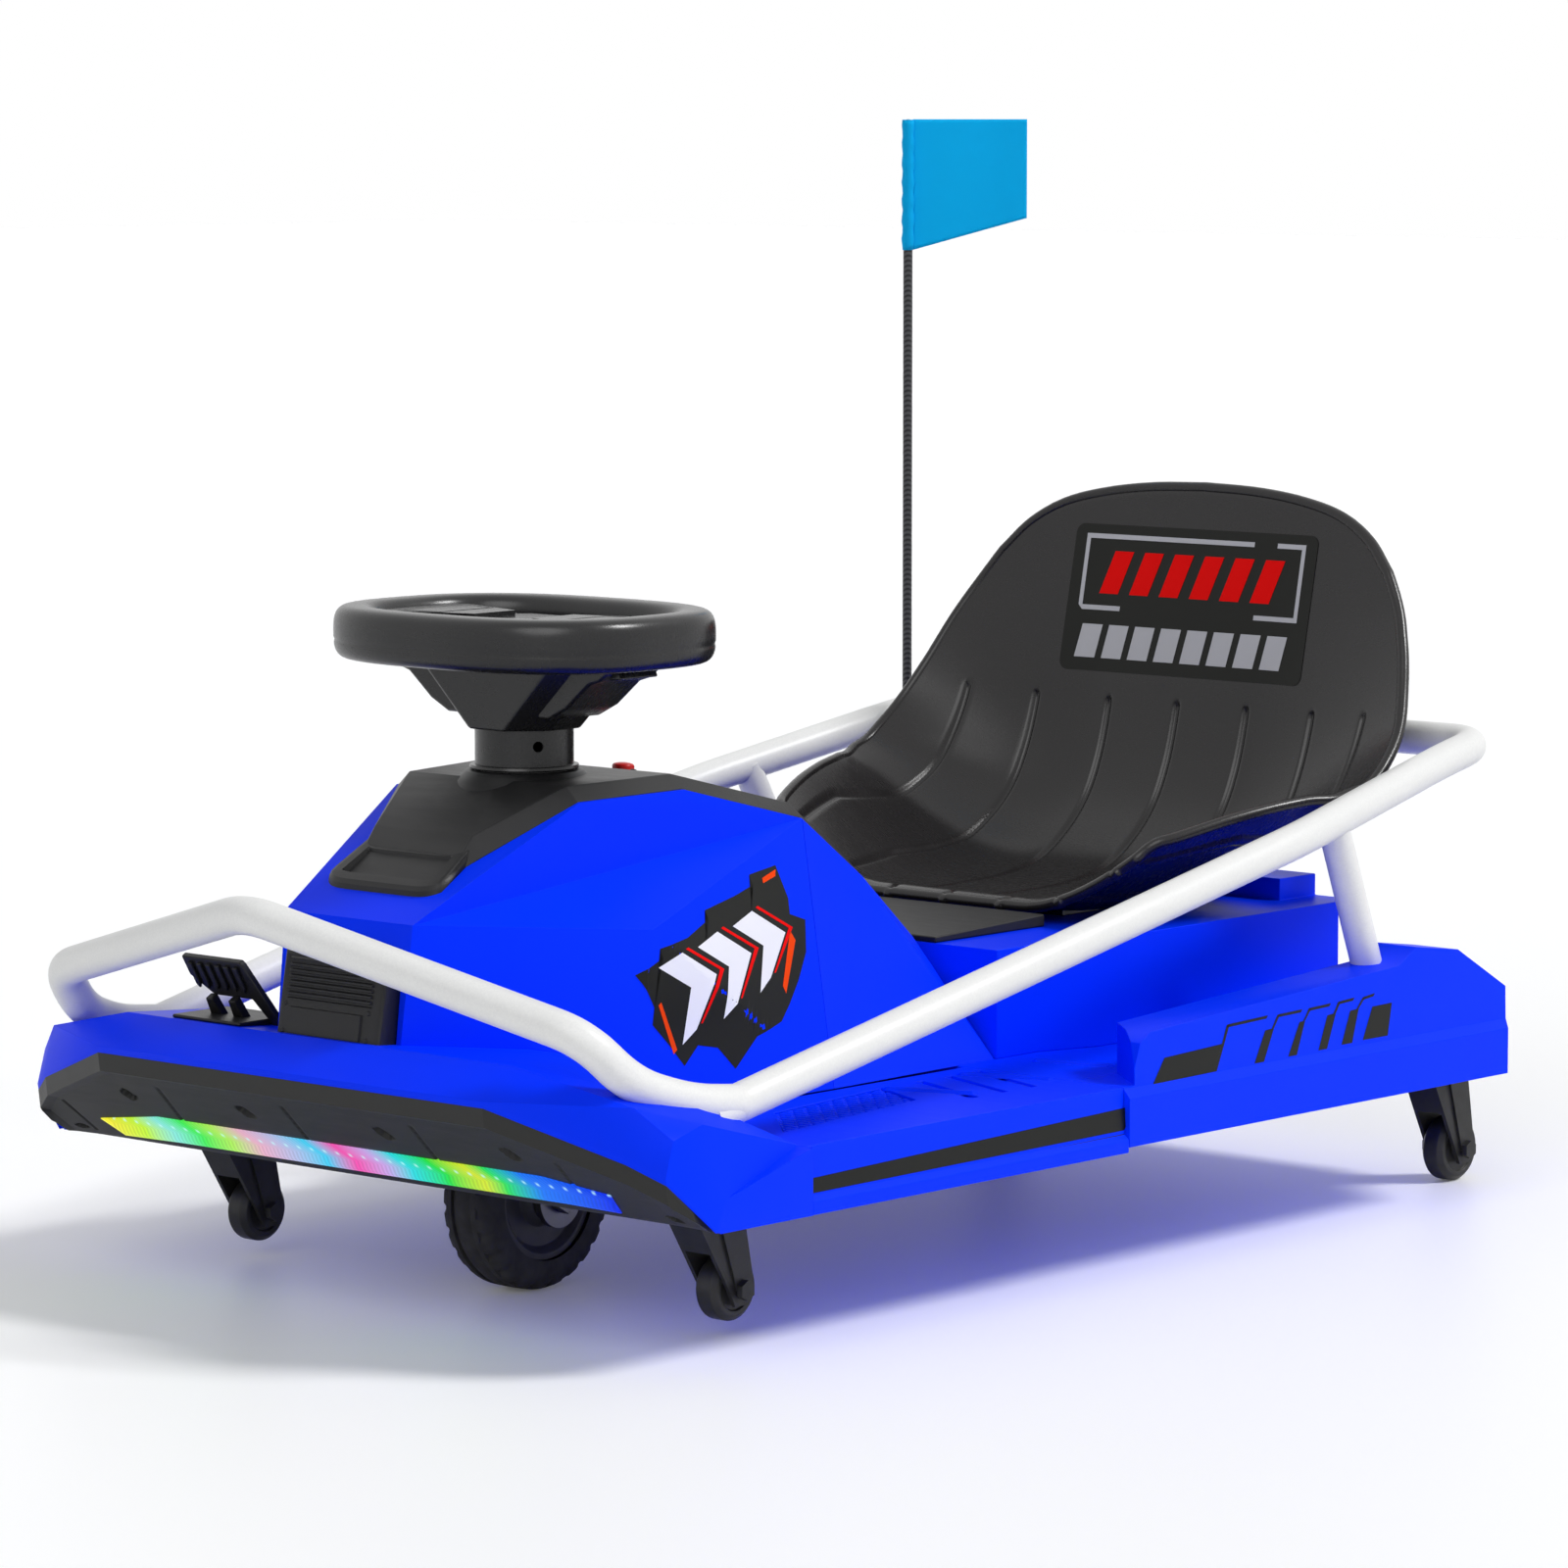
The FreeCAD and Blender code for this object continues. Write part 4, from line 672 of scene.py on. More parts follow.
@dataclass
class Shell:
    """The blue mouldings, their grips and their ribs."""

    kart: Kart
    board_top: float = 151.0
    mat_corners: tuple[tuple[float, float], ...] = ((217.0, 36.0), (277.0, -20.0), (253.0, 150.0), (200.0, 176.0))
    rib_lines: tuple[tuple[float, float, float, float], ...] = (
        (203.0, 174.0, 272.0, 204.0), (199.0, 266.0, 272.0, 294.0), (198.0, 357.0, 264.0, 376.0))

    def build(self) -> None:
        """Round the mouldings' edges and add the grips and ribs."""
        for node, width in (("hood_front", 2.2), ("hood_rear", 2.2), ("nose_deck", 2.2), ("rear_pod_left", 2.5),
                            ("rear_pod_right", 2.5), ("rear_deck", 2.0), ("seat_base", 3.0), ("floor_tray", 1.5),
                            ("foot_board_left", 1.2), ("foot_board_right", 1.2)):
            self.kart.soften(node, width)
        for side, name in ((1.0, "left"), (-1.0, "right")):
            self.grip_mat(side, name)
            for number, line in enumerate(self.rib_lines):
                self.rib(side, "board_rib_%d_%s" % (number, name), line)

    def rib(self, side: float, name: str, line: tuple[float, float, float, float]) -> Any:
        """Raise a tread rib along a line on the board, 2.2 mm high and 9 mm wide at its foot."""
        start, end = np.array(line[:2]), np.array(line[2:])
        way = (end - start) / np.linalg.norm(end - start)
        out = np.array([way[1], -way[0]])
        rows = [start, start + way * 4, end - way * 4, end]
        points = np.array([[
            (*(at + out * across * (0.2 if k in (0, 3) else 1.0)), self.board_top + high * (0.1 if k in (0, 3) else 1.0))
            for across, high in ((-4.5, -0.5), (-1.2, 2.2), (1.2, 2.2), (4.5, -0.5))]
            for k, at in enumerate(rows)])
        points[..., 0] *= side
        return dress(smooth(grid_object(name, placed(points), wrap_columns=True, cap=True), 25), BLUE, "kart")

    def grip_mat(self, side: float, name: str) -> Any:
        """Lay the diamond grip in a foot board's recess.

        The corners are blended bilinearly, and each point rises by up to 1.9 mm inside a rounded lozenge of a
        staggered pattern, 15 mm by 7.5 mm.

        Args:
            side: 1 for the left and -1 for the right.
            name: the side's name.

        Returns:
            The grip.
        """
        across, along = np.meshgrid(np.linspace(0, 1, 101), np.linspace(0, 1, 201), indexing="ij")
        a, b, c, d = (np.array(corner) for corner in self.mat_corners)
        flat = (a * ((1 - across) * (1 - along))[..., None] + b * (across * (1 - along))[..., None]
                + c * (across * along)[..., None] + d * ((1 - across) * along)[..., None])
        row = flat[..., 1] / 7.5
        shift = flat[..., 0] / 15.0 + 0.5 * (np.floor(row) % 2)
        bead = (2 * (shift % 1.0) - 1) ** 4 + (2 * (row % 1.0) - 1) ** 4
        rise = np.clip((0.75 - bead) * 3.0, 0, 1) * 1.9
        points = np.stack([side * flat[..., 0], flat[..., 1], self.board_top - 2.7 + rise], -1)
        return dress(smooth(grid_object("grip_mat_" + name, placed(points)), 60), BLUE, "kart")


@dataclass
class Guards:
    """The bent tubes round the kart."""

    kart: Kart
    radius: float = 14.0
    hoop: tuple[tuple[float, float, float], ...] = (
        (300.0, -96.0, 182.5), (296.5, -141.0, 187.5), (284.4, -188.0, 204.0), (270.0, -222.0, 240.0),
        (0.0, -288.0, 312.0))
    rail: tuple[tuple[float, float, float], ...] = (
        (298.0, -125.0, 176.0), (317.0, 330.0, 275.0), (317.0, 540.0, 317.0),
        (291.0, 760.0, 358.0), (283.0, 827.0, 368.0))

    def build(self) -> None:
        """Bend the front hoop and the long rail, and shade the posts smooth."""
        for name, half, reach, nodes in (
                ("front_hoop", self.hoop, 24.0, ["front_guard"]),
                ("side_and_rear_rail", self.rail, 30.0, ["side_rail_left", "side_rail_right", "rear_guard"])):
            other = [(-x, y, z) for x, y, z in half[::-1]]
            path = [*half, *other[1:]] if half[-1][0] == 0.0 else [*half, *other]
            dress(tube(name, self.bend(path, reach), self.radius), WHITE, "kart", nodes)
        for node in ("rail_post_left", "rail_post_right"):
            self.kart.soften(node, 0.6, segments=2, angle=50.0)

    @staticmethod
    def bend(path: Sequence[Sequence[float]], reach: float) -> np.ndarray:
        """Round a path's corners."""
        return rounded(path, reach)


@dataclass
class Bumper:
    """The black bumper skin under the nose's lip and the lit strip across it."""

    stations: tuple[tuple[float, float, float, float], ...] = (
        (0.0, -251.0, 191.5, -150.0), (199.0, -251.0, 191.5, -150.0), (300.0, -213.0, 158.0, -150.0),
        (325.0, -198.0, 144.0, -152.0), (333.0, -180.0, 123.7, -155.0))
    foot: float = 104.0
    lip: float = 5.0
    slots: tuple[tuple[float, float], ...] = ((-205.0, 0.28), (-79.0, 0.30), (64.0, 0.31), (189.0, 0.33))
    holes: tuple[tuple[float, float], ...] = ((-311.0, 0.80), (304.0, 0.84))
    grooves: tuple[tuple[float, float, float, float], ...] = (
        (-297.0, 0.10, -298.0, 0.90), (-159.0, 0.14, -171.0, 0.58), (-27.0, 0.14, -36.0, 0.57),
        (105.0, 0.14, 96.0, 0.58), (232.0, 0.24, 226.0, 0.60))
    strip: tuple[float, float] = (0.585, 0.935)
    strip_half: float = 266.0

    def build(self) -> None:
        """Make the skin and the strip."""
        self.skin()
        self.lamp()

    def section(self, x: np.ndarray) -> tuple[np.ndarray, ...]:
        """Give the skin's bevel band and face at each x, read along the stations, as pairs of Y and Z."""
        rows = np.array(self.stations)
        lip_y, lip_z, chin = (np.interp(np.abs(x), rows[:, 0], rows[:, k]) for k in (1, 2, 3))
        top = lip_z - self.lip
        band = np.minimum(14.0, (top - self.foot) * 0.42)
        high = np.stack([lip_y + 3.5 + band * 0.65, top - band - 2.5], -1)
        low = np.stack([chin - 8.0, np.full_like(x, self.foot)], -1)
        return np.stack([lip_y + 0.8, top], -1), np.stack([lip_y + 2.6, top - band], -1), high, low

    def on_face(self, x: np.ndarray, t: np.ndarray) -> tuple[np.ndarray, np.ndarray]:
        """Give points at share t down the face, and the face's outward normal in Y and Z."""
        _, _, high, low = self.section(x)
        way = low - high
        normal = np.stack([way[..., 1], -way[..., 0]], -1) / np.linalg.norm(way, axis=-1)[..., None]
        flat = high + way * t[..., None]
        return np.concatenate([x[..., None], flat], -1), np.concatenate([np.zeros_like(x)[..., None], normal], -1)

    def skin(self) -> Any:
        """Lay the skin across the kart.

        The face is sunk by smooth steps: 4 mm in each slot, where (a / 8)**4 + (b / 5)**4 < 1, and 1 mm within
        0.9 mm of each groove's line.

        Returns:
            The skin, which stands for its node.
        """
        x = np.unique(np.concatenate([np.linspace(-333, 333, 500), [-325, -300, -199, 199, 300, 325]]))
        t = np.linspace(0, 1, 64)
        wide, down = np.meshgrid(x, t, indexing="ij")
        points, normal = self.on_face(wide, down)
        length = 100.0
        sunk = np.zeros_like(wide)
        for at, share in self.slots + self.holes:
            a, b = wide - at, (down - share) * length
            inside = ((a - b * 0.35) / 6.0) ** 4 + ((b + a * 0.25) / 7.5) ** 4
            sunk = np.maximum(sunk, 4.0 * np.clip((1.25 - inside) * 2.5, 0, 1))
        for x1, t1, x2, t2 in self.grooves:
            way = np.array([x2 - x1, (t2 - t1) * length])
            a, b = wide - x1, (down - t1) * length
            along = np.clip((a * way[0] + b * way[1]) / (way @ way), 0, 1)
            far = np.hypot(a - along * way[0], b - along * way[1])
            sunk = np.maximum(sunk, 1.1 * np.clip((2.0 - far) / 0.9, 0, 1))
        points = points + normal * -sunk[..., None]
        first, second, _, low = self.section(x)
        ends = [np.concatenate([x[:, None], pair], -1)[:, None] for pair in (
            first + [9.0, -0.5], first, second, low + [3.0, -1.6], low + [7.5, 0.5])]
        whole = np.concatenate([*ends[:3], points, *ends[3:]], 1)
        shape = smooth(grid_object("bumper_skin", placed(whole), wrap_columns=True, cap=True), 30)
        return dress(shape, FASCIA, "kart", ["bumper_fascia"])

    def lamp(self) -> Any:
        """Lay the lit strip on the face, its ends slanted and its front crowned by 1.2 mm."""
        u, t = np.meshgrid(np.linspace(-1, 1, 121), np.linspace(0, 1, 13), indexing="ij")
        x = u * (self.strip_half - 8.0 * t) - 8.0
        share = self.strip[0] + (self.strip[1] - self.strip[0]) * t
        points, normal = self.on_face(x, share)
        crown = 0.9 + 1.2 * (1 - (2 * t - 1) ** 4) * np.clip((1 - np.abs(u)) * 60, 0, 1)
        shape = grid_object("lit_strip", placed(points + normal * crown[..., None]))
        if shape.data.polygons[0].normal.y > 0:
            shape.data.flip_normals()
        modifier(smooth(shape, 60), "SOLIDIFY", thickness=0.0022, offset=-1.0)
        return dress(shape, LENS, "kart", ["light_strip"])


@dataclass
class Trim:
    """The black mouldings on the hood and the floor."""

    kart: Kart
    scoop: tuple[tuple[float, float], ...] = (
        (-116.0, 336.0), (-117.0, 340.8), (-121.0, 341.0), (-122.5, 340.2), (-124.0, 339.2), (-134.0, 333.2),
        (-146.0, 326.0), (-147.5, 325.1), (-149.0, 324.2), (-153.5, 321.0), (-155.5, 317.5), (-155.8, 313.0),
        (-154.0, 310.5))
    scoop_depth: tuple[float, ...] = (0, 0, 0, 0, 2.6, 3.4, 4.2, 0, 0, 0, 0, 0, 0)
    vent: tuple[float, float, float, float] = (-48.0, 59.0, 209.0, 66.0)
    pedal_at: tuple[float, float, float] = (-119.0, -186.0, 216.0)

    def build(self) -> None:
        """Round the covers' edges and add the scoop, the vent box, the pedal and the button."""
        for node, width in (("hood_cover", 2.0), ("centre_cover", 1.5), ("pedal_base", 1.5)):
            self.kart.soften(node, width)
        self.kart.keep("battery", BATTERY)
        self.scoop_lip()
        self.vent_box()
        self.pedal()
        self.button()

    def scoop_lip(self) -> Any:
        """Carry the scoop's side profile across the cover.

        Its ends are drawn back by 8 * |share|**8, and its face is sunk by the profile's own depth where |share| is
        under 0.8.
        """
        flat = np.array(self.scoop)
        u = np.unique(np.concatenate([np.linspace(-1, 1, 41), [-0.83, -0.80, 0.80, 0.83]]))
        half = 59.0 - (flat[:, 1] - 311.0) * 0.22
        x = half[:, None] * u
        back = np.abs(u) ** 8 * 8.0
        sunk = np.array(self.scoop_depth)[:, None] * (np.abs(u) < 0.81)
        points = np.stack([x, flat[:, :1] + back + sunk * 0.5, flat[:, 1:] + back * 0.5 - sunk * 0.85], -1)
        shape = smooth(grid_object("cover_scoop", placed(points), wrap_rows=True), 20)
        return dress(self.close(shape), BLACK, "kart")

    @staticmethod
    def close(shape: Any) -> Any:
        """Fill a tube's open ends."""
        work = bmesh.new()
        work.from_mesh(shape.data)
        bmesh.ops.holes_fill(work, edges=work.edges)
        bmesh.ops.recalc_face_normals(work, faces=work.faces)
        work.to_mesh(shape.data)
        work.free()
        return shape

    def vent_box(self) -> Any:
        """Lay the vent's face with its ribs, its blank plate and its screws.

        Over width u and height v the face stands out by 1.8 mm times a clipped wave in the ribbed upper part, by
        1.6 mm on the plate and by 1 mm at the screws, and its edges are drawn back by a steep power.

        Returns:
            The box, which stands for its node.
        """
        left, right, low, tall = self.vent
        u, v = np.meshgrid(np.linspace(0, 1, 141), np.linspace(0, 1, 161), indexing="ij")
        x, h = left + (right - left) * u, tall * v
        wave = np.clip(np.sin(h * 2 * math.pi / 4.2) * 2.5, -1, 1) * 0.5 + 0.5
        ribs = wave * (h > 31) * (h < 62) * (x > left + 9) * (x < right - 12)
        plate = (h > 6) * (h < 25) * (x > left + 13) * (x < right - 20)
        screws = sum((np.hypot(x - a, h - b) < 1.7).astype(float)
                     for a in (left + 7, right - 14) for b in (7.0, 27.0))
        edge = np.maximum(np.abs(2 * u - 1) ** 40, np.abs(2 * v - 1) ** 30)
        out = 14.0 + 1.8 * ribs + 1.4 * plate + 0.9 * screws - 3.0 * edge
        out = np.where((u == 0) | (u == 1) | (v == 0) | (v == 1), -6.0, out)
        lean = math.radians(10.0)
        y = -200.4 - out * math.cos(lean) + h * math.sin(lean)
        z = low + h * math.cos(lean) - out * math.sin(lean) * 0.4
        shape = smooth(grid_object("vent_cover", placed(np.stack([x, y, z], -1))), 30)
        if sum(face.normal.y for face in shape.data.polygons) > 0:
            shape.data.flip_normals()
        modifier(shape, "SOLIDIFY", thickness=0.0015, offset=-1.0)
        return dress(shape, BLACK, "kart", ["vent_box"])

    def pedal(self) -> Any:
        """Push the pedal's ribbed plate and its two webs out of their outlines, leaned back by 30 degrees."""
        lean = math.radians(30.0)
        up = np.array([0.0, -math.sin(lean), math.cos(lean)])
        out = np.array([0.0, -math.cos(lean), -math.sin(lean)])
        base = np.array(self.pedal_at)

        def on_plate(pairs: Pairs, depth: float) -> np.ndarray:
            """Stand pairs on the plate, base + u * across + v * up + depth * out."""
            flat = np.array(pairs, float)
            return base + flat[:, :1] * np.array([1.0, 0.0, 0.0]) + flat[:, 1:] * up + depth * out

        outline = [(-31, 50), (31, 50), (33, 47), (46, -3), (44, -7), (37, -7), (27, 16), (-13, 16), (-31, 33)]
        plate = prism("pedal_plate", on_plate(outline, 0.0), out * -5.0, 1.2)
        dress(plate, BLACK, "kart", ["pedal"])
        for number in range(6):
            left = -25.0 + 9.6 * number
            rib = prism("pedal_rib_%d" % number, on_plate(
                [(left, 46), (left + 4.6, 46), (left + 4.6, 27), (left + 2.3, 23), (left, 27)], 0.0), out * 2.6, 0.8)
            dress(rib, BLACK, "kart")
        for number, left in enumerate((-16.0, 8.0)):
            web = prism("pedal_web_%d" % number, on_plate(
                [(left, 18), (left + 7, 18), (left + 10, -4), (left - 3, -4)], 0.0), out * 7.0, 1.0)
            dress(web, BLACK, "kart")
        return plate

    def button(self) -> Any:
        """Turn the red button's low dome and set it on the cover behind the column."""
        r = np.array([0.02, 0.3, 0.6, 0.85, 0.97, 1.0, 1.0]) * 8.5
        z = 387.2 + np.array([1.6, 1.5, 1.1, 0.5, -0.4, -1.5, -7.0])
        turn = np.linspace(0, 2 * math.pi, 33)[:-1]
        points = np.stack([r[:, None] * np.cos(turn), 108.0 + r[:, None] * np.sin(turn),
                           z[:, None] - 0.07 * r[:, None] * np.sin(turn)], -1)
        return dress(smooth(grid_object("red_button", placed(points), wrap_columns=True, cap=True), 40), BUTTON, "kart")


@dataclass
class SteeringWheel:
    """The rim, its spokes, the boss, the column and what turns below it."""

    kart: Kart
    half_width: float = 130.0
    half_depth: float = 99.0
    height: float = 494.0
    half_grip: float = 16.0
    half_tall: float = 20.0
    squareness: float = 2.7

    def build(self) -> None:
        """Make the rim and its fittings and round the edges of the rest."""
        self.rim()
        self.pads()
        self.wings()
        self.flange()
        for node, width in (("steering_spokes", 2.0), ("steering_boss", 2.0), ("steering_column", 0.8)):
            self.kart.soften(node, width, GRIP)
        for node in ("steering_fork", "drive_axle", "steering_head"):
            self.kart.soften(node, 0.8)

    def pads(self) -> None:
        """Lay the two thumb pads, each raised round its rim and along an embossed frame.

        The height is 1.4 mm within a thin band about a rounded rectangle's line, and falls away at the edges.
        """
        u, v = np.meshgrid(np.linspace(-1, 1, 61), np.linspace(-1, 1, 61), indexing="ij")
        for side, name in ((1.0, "left"), (-1.0, "right")):
            x = 78.0 + 36.0 * u
            y = v * (50.0 + 10.0 * u)
            box = np.maximum(np.abs(u) / 0.52, np.abs(v) / 0.62)
            frame = np.clip(1.0 - np.abs(box - 1.0) / 0.07, 0, 1)
            edge = np.maximum(np.abs(u), np.abs(v)) ** 14
            z = self.height + 13.0 + 1.4 * np.clip(frame * 2, 0, 1) - 7.0 * edge
            shape = smooth(grid_object("thumb_pad_" + name, placed(np.stack([side * x, y, z], -1))), 40)
            if shape.data.polygons[1800].normal.z < 0:
                shape.data.flip_normals()
            modifier(shape, "SOLIDIFY", thickness=0.003, offset=-1.0)
            dress(shape, GRIP, "steering")

    def wings(self) -> None:
        """Push out the wings that carry the rim from the boss, and the raised rib on the boss's front."""
        low = self.height - self.half_tall
        for side, name in ((1.0, "left"), (-1.0, "right")):
            outline = [(side * x, 0.0, z) for x, z in (
                (40, low + 6), (112, low + 6), (112, low - 3), (103, low - 9), (93, low - 12), (70, low - 31),
                (52, low - 40), (40, low - 40))]
            flat = np.array(outline) - [0.0, 29.0, 0.0]
            dress(prism("boss_wing_" + name, flat, (0.0, 58.0, 0.0), 3.0), GRIP, "steering")
            pad = np.array([(side * x, -20.0, z) for x, z in ((84, low - 2), (116, low - 2), (118, low - 7), (92, low - 9))])
            dress(prism("wing_step_" + name, pad, (0.0, 40.0, 0.0), 1.5), GRIP, "steering")

    def flange(self) -> None:
        """Turn the collar that flares from the cover to the column and the ring at the column's foot."""
        collar = turned("column_collar", [(37.6, 385.0), (58.0, 378.0), (52.0, 385.5), (47.0, 389.0), (44.5, 391.5),
                                          (41.5, 392.4), (37.6, 392.4)])
        dress(collar, BLACK, "kart")
        ring = turned("column_ring", [(37.1, 393.4), (40.6, 393.4), (41.2, 394.4), (40.6, 396.2), (37.1, 396.8)])
        dress(ring, GRIP, "steering")

    def rim(self) -> Any:
        """Carry the grip's section round the rim.

        The path is |x / a| ** n + |y / b| ** n = 1, the section the same kind of oval with exponent 3.2, standing
        on the path's outward normal and Z, with a shallow parting groove at mid height.

        Returns:
            The rim, which stands for its node.
        """
        turn = np.linspace(0, 2 * math.pi, 181)[:-1]
        power = 2.0 / self.squareness
        x = self.half_width * np.sign(np.cos(turn)) * np.abs(np.cos(turn)) ** power
        y = self.half_depth * np.sign(np.sin(turn)) * np.abs(np.sin(turn)) ** power
        path = np.stack([x, y], -1)
        length = np.concatenate([[0], np.cumsum(np.linalg.norm(np.roll(path, -1, 0) - path, axis=1))])
        even = np.linspace(0, length[-1], 181)[:-1]
        closed = np.vstack([path, path[:1]])
        path = np.stack([np.interp(even, length, closed[:, k]) for k in (0, 1)], -1)
        way = np.roll(path, -1, 0) - np.roll(path, 1, 0)
        out = np.stack([way[:, 1], -way[:, 0]], -1) / np.linalg.norm(way, axis=1)[:, None]
        round_ = np.linspace(0, 2 * math.pi, 97)[:-1]
        section = 2.0 / 3.2
        across = self.half_grip * np.sign(np.cos(round_)) * np.abs(np.cos(round_)) ** section
        up = self.half_tall * np.sign(np.sin(round_)) * np.abs(np.sin(round_)) ** section
        across = across - 0.9 * np.sign(across) * np.exp(-(((up + 6.0) / 1.1) ** 2))
        points = np.concatenate([
            path[:, None, :] + out[:, None, :] * across[None, :, None],
            np.broadcast_to(self.height + up[None, :, None], (len(path), len(up), 1))], -1)
        shape = smooth(grid_object("steering_grip", placed(points), wrap_rows=True, wrap_columns=True), 50)
        return dress(shape, GRIP, "steering", ["steering_rim"])


@dataclass
class DriveWheel:
    """The drive wheel's grooved tyre and its hub."""

    kart: Kart
    radius: float = 71.0
    half: float = 24.0
    core: float = 48.0

    def build(self) -> None:
        """Make the tyre and round the hub's edges."""
        self.tyre()
        self.kart.soften("drive_hub", 0.8)

    def tyre(self) -> Any:
        """Turn the tyre's section about its axle.

        The radius falls at the shoulders as an oval, two grooves run round the crown, and blocks are cut by a
        square wave of the angle on both shoulders.

        Returns:
            The tyre, which stands for its node.
        """
        side = np.array([-24, -24, -23.4, -21.5, -18.5, -15, -14.6, -10, -9.6, -4.5, 4.5, 9.6, 10, 14.6, 15, 18.5,
                         21.5, 23.4, 24, 24.0])
        base = np.array([48, 57, 62.5, 66.5, 69.3, 70.5, 70.7, 70.9, 68.4, 68.4, 68.4, 68.4, 70.9, 70.7, 70.5, 69.3,
                         66.5, 62.5, 57, 48.0])
        base[9:11] = 71.0
        turn = np.linspace(0, 2 * math.pi, 145)[:-1]
        block = (np.sin(turn * 24) > 0.55).astype(float)
        outer = np.clip((np.abs(side) - 14.7) / 0.2, 0, 1) * (np.abs(side) < 23.6)
        radius = base[None, :] - 2.2 * block[:, None] * outer[None, :]
        points = np.stack([
            np.broadcast_to(side, radius.shape), radius * np.cos(turn)[:, None],
            self.radius + radius * np.sin(turn)[:, None]], -1)
        shape = smooth(grid_object("tyre_tread", placed(points), wrap_rows=True), 32)
        return dress(shape, TYRE, "drive_wheel", ["drive_tyre"])


@dataclass
class Casters:
    """The four swivel casters."""

    kart: Kart

    def build(self) -> None:
        """Round the edges of the holders and wheels."""
        for end in ("front", "rear"):
            for side in ("left", "right"):
                self.kart.soften("caster_fork_%s_%s" % (end, side), 0.7, segments=2)
                self.kart.soften("caster_wheel_%s_%s" % (end, side), 1.2, segments=2)


@dataclass
class BucketSeat:
    """The moulded bucket, its sewn-looking channels and its printed label."""

    kart: Kart
    wall: float = 7.0
    flat: float = 80.0
    curl: float = 1.75
    channels: tuple[float, ...] = (-210.0, -146.0, -73.0, 0.0, 73.0, 146.0, 210.0)
    channel_top: float = 388.0
    channel_depth: float = 2.6
    shoulder: float = 503.0
    last_half: float = 150.0
    rim_radius: float = 4.9
    rows: tuple[tuple[float, ...], ...] = (
        (488.0, 252.0, -14.0, 184.0, 46.0), (500.0, 254.5, -10.0, 194.0, 54.0), (520.0, 250.0, -6.0, 206.0, 64.0),
        (560.0, 246.0, -4.0, 222.0, 78.0), (605.0, 246.0, 1.0, 235.0, 85.0), (650.0, 248.0, 8.0, 245.0, 88.0),
        (694.0, 257.0, 22.0, 255.0, 85.0), (730.0, 278.0, 38.0, 262.0, 80.0), (757.0, 304.0, 54.0, 264.5, 72.0),
        (774.0, 335.0, 66.0, 264.0, 61.0), (785.0, 370.0, 74.0, 262.0, 46.0), (792.0, 405.0, 79.0, 256.0, 34.0),
        (800.0, 448.0, 79.0, 247.0, 22.0), (808.0, 490.0, 78.0, 236.0, 12.0), (826.0, 580.0, 78.0, 205.0, 4.0))
    outline: tuple[tuple[float, float], ...] = (
        (300.0, 200.0), (290.0, 320.0), (275.0, 348.0), (262.0, 375.0), (252.0, 405.0), (240.0, 440.0),
        (226.0, 470.0), (205.0, 503.0), (180.0, 528.0), (148.0, 546.0), (105.0, 557.0), (55.0, 563.0), (0.0, 565.0))

    def build(self) -> None:
        """Make the bucket and its label, and round the bracket's edges."""
        self.shell()
        self.kart.soften("seat_bracket", 1.0)
        self.label()

    def middle(self, z: np.ndarray) -> np.ndarray:
        """Read the table's columns by height, over the back only."""
        places = np.linspace(9, len(self.rows) - 1, 500)
        return self.read(np.interp(z, self.read(places)[:, 1], places))

    def bowl(self, x: np.ndarray, half: np.ndarray, rise: np.ndarray) -> np.ndarray:
        """Give how far the sides curl up, rise * share ** curl beyond the flat middle."""
        share = np.clip(np.abs(x) - self.flat, 0, None) / (half - self.flat)
        return rise * share**self.curl

    def read(self, places: np.ndarray) -> np.ndarray:
        """Read the table's columns and the rim's half width at places of any shape."""
        table = np.array(self.rows)
        edge = np.array(self.outline)
        tip = table[:, 1] + table[:, 4] * np.cos(np.radians(table[:, 2]))
        rim = np.minimum(table[:, 3], np.interp(tip, edge[:, 1], edge[:, 0]))
        rim[-1] = self.last_half
        return catmull(np.column_stack([table, rim]), places.ravel()).reshape(*places.shape, 6)

    def shell(self) -> Any:
        """Lay the bucket's face, give it a wall and roll its rim.

        A point's place along the table is v * shoulder, bent towards the crown's arc by v**4. Across, x is the
        channels' places with steps between them, scaled to the rim. The point is centre + (x, 0, 0)
        + up * curl(x), less the channels' depth. The rim is a circle carried round the grid's own border.

        Returns:
            The shell, which stands for its node.
        """
        places = np.linspace(0, len(self.rows) - 1, 700)
        height = self.read(places)[:, 1]
        up_there = places > 10
        shoulder = float(np.interp(self.shoulder, height[up_there], places[up_there]))
        v = np.linspace(0, 1, 170) ** 0.9
        steps = np.array([0, .015, .03, .05, .08, .13, .2, .32, .5, .68, .8, .87, .92, .95, .97, .985])
        knots = np.concatenate([[-1e3], self.channels, [1e3]])

        def across(half: np.ndarray) -> tuple[np.ndarray, np.ndarray]:
            """Give the columns' places, and the channels' own, for rows of a half width."""
            own = np.clip(np.minimum(1.0, half / 232.0)[:, None] * knots, -half[:, None], half[:, None])
            spans = own[:, :-1, None] + (own[:, 1:] - own[:, :-1])[:, :, None] * steps
            return np.concatenate([spans.reshape(len(half), -1), own[:, -1:]], 1), own[:, 1:-1]

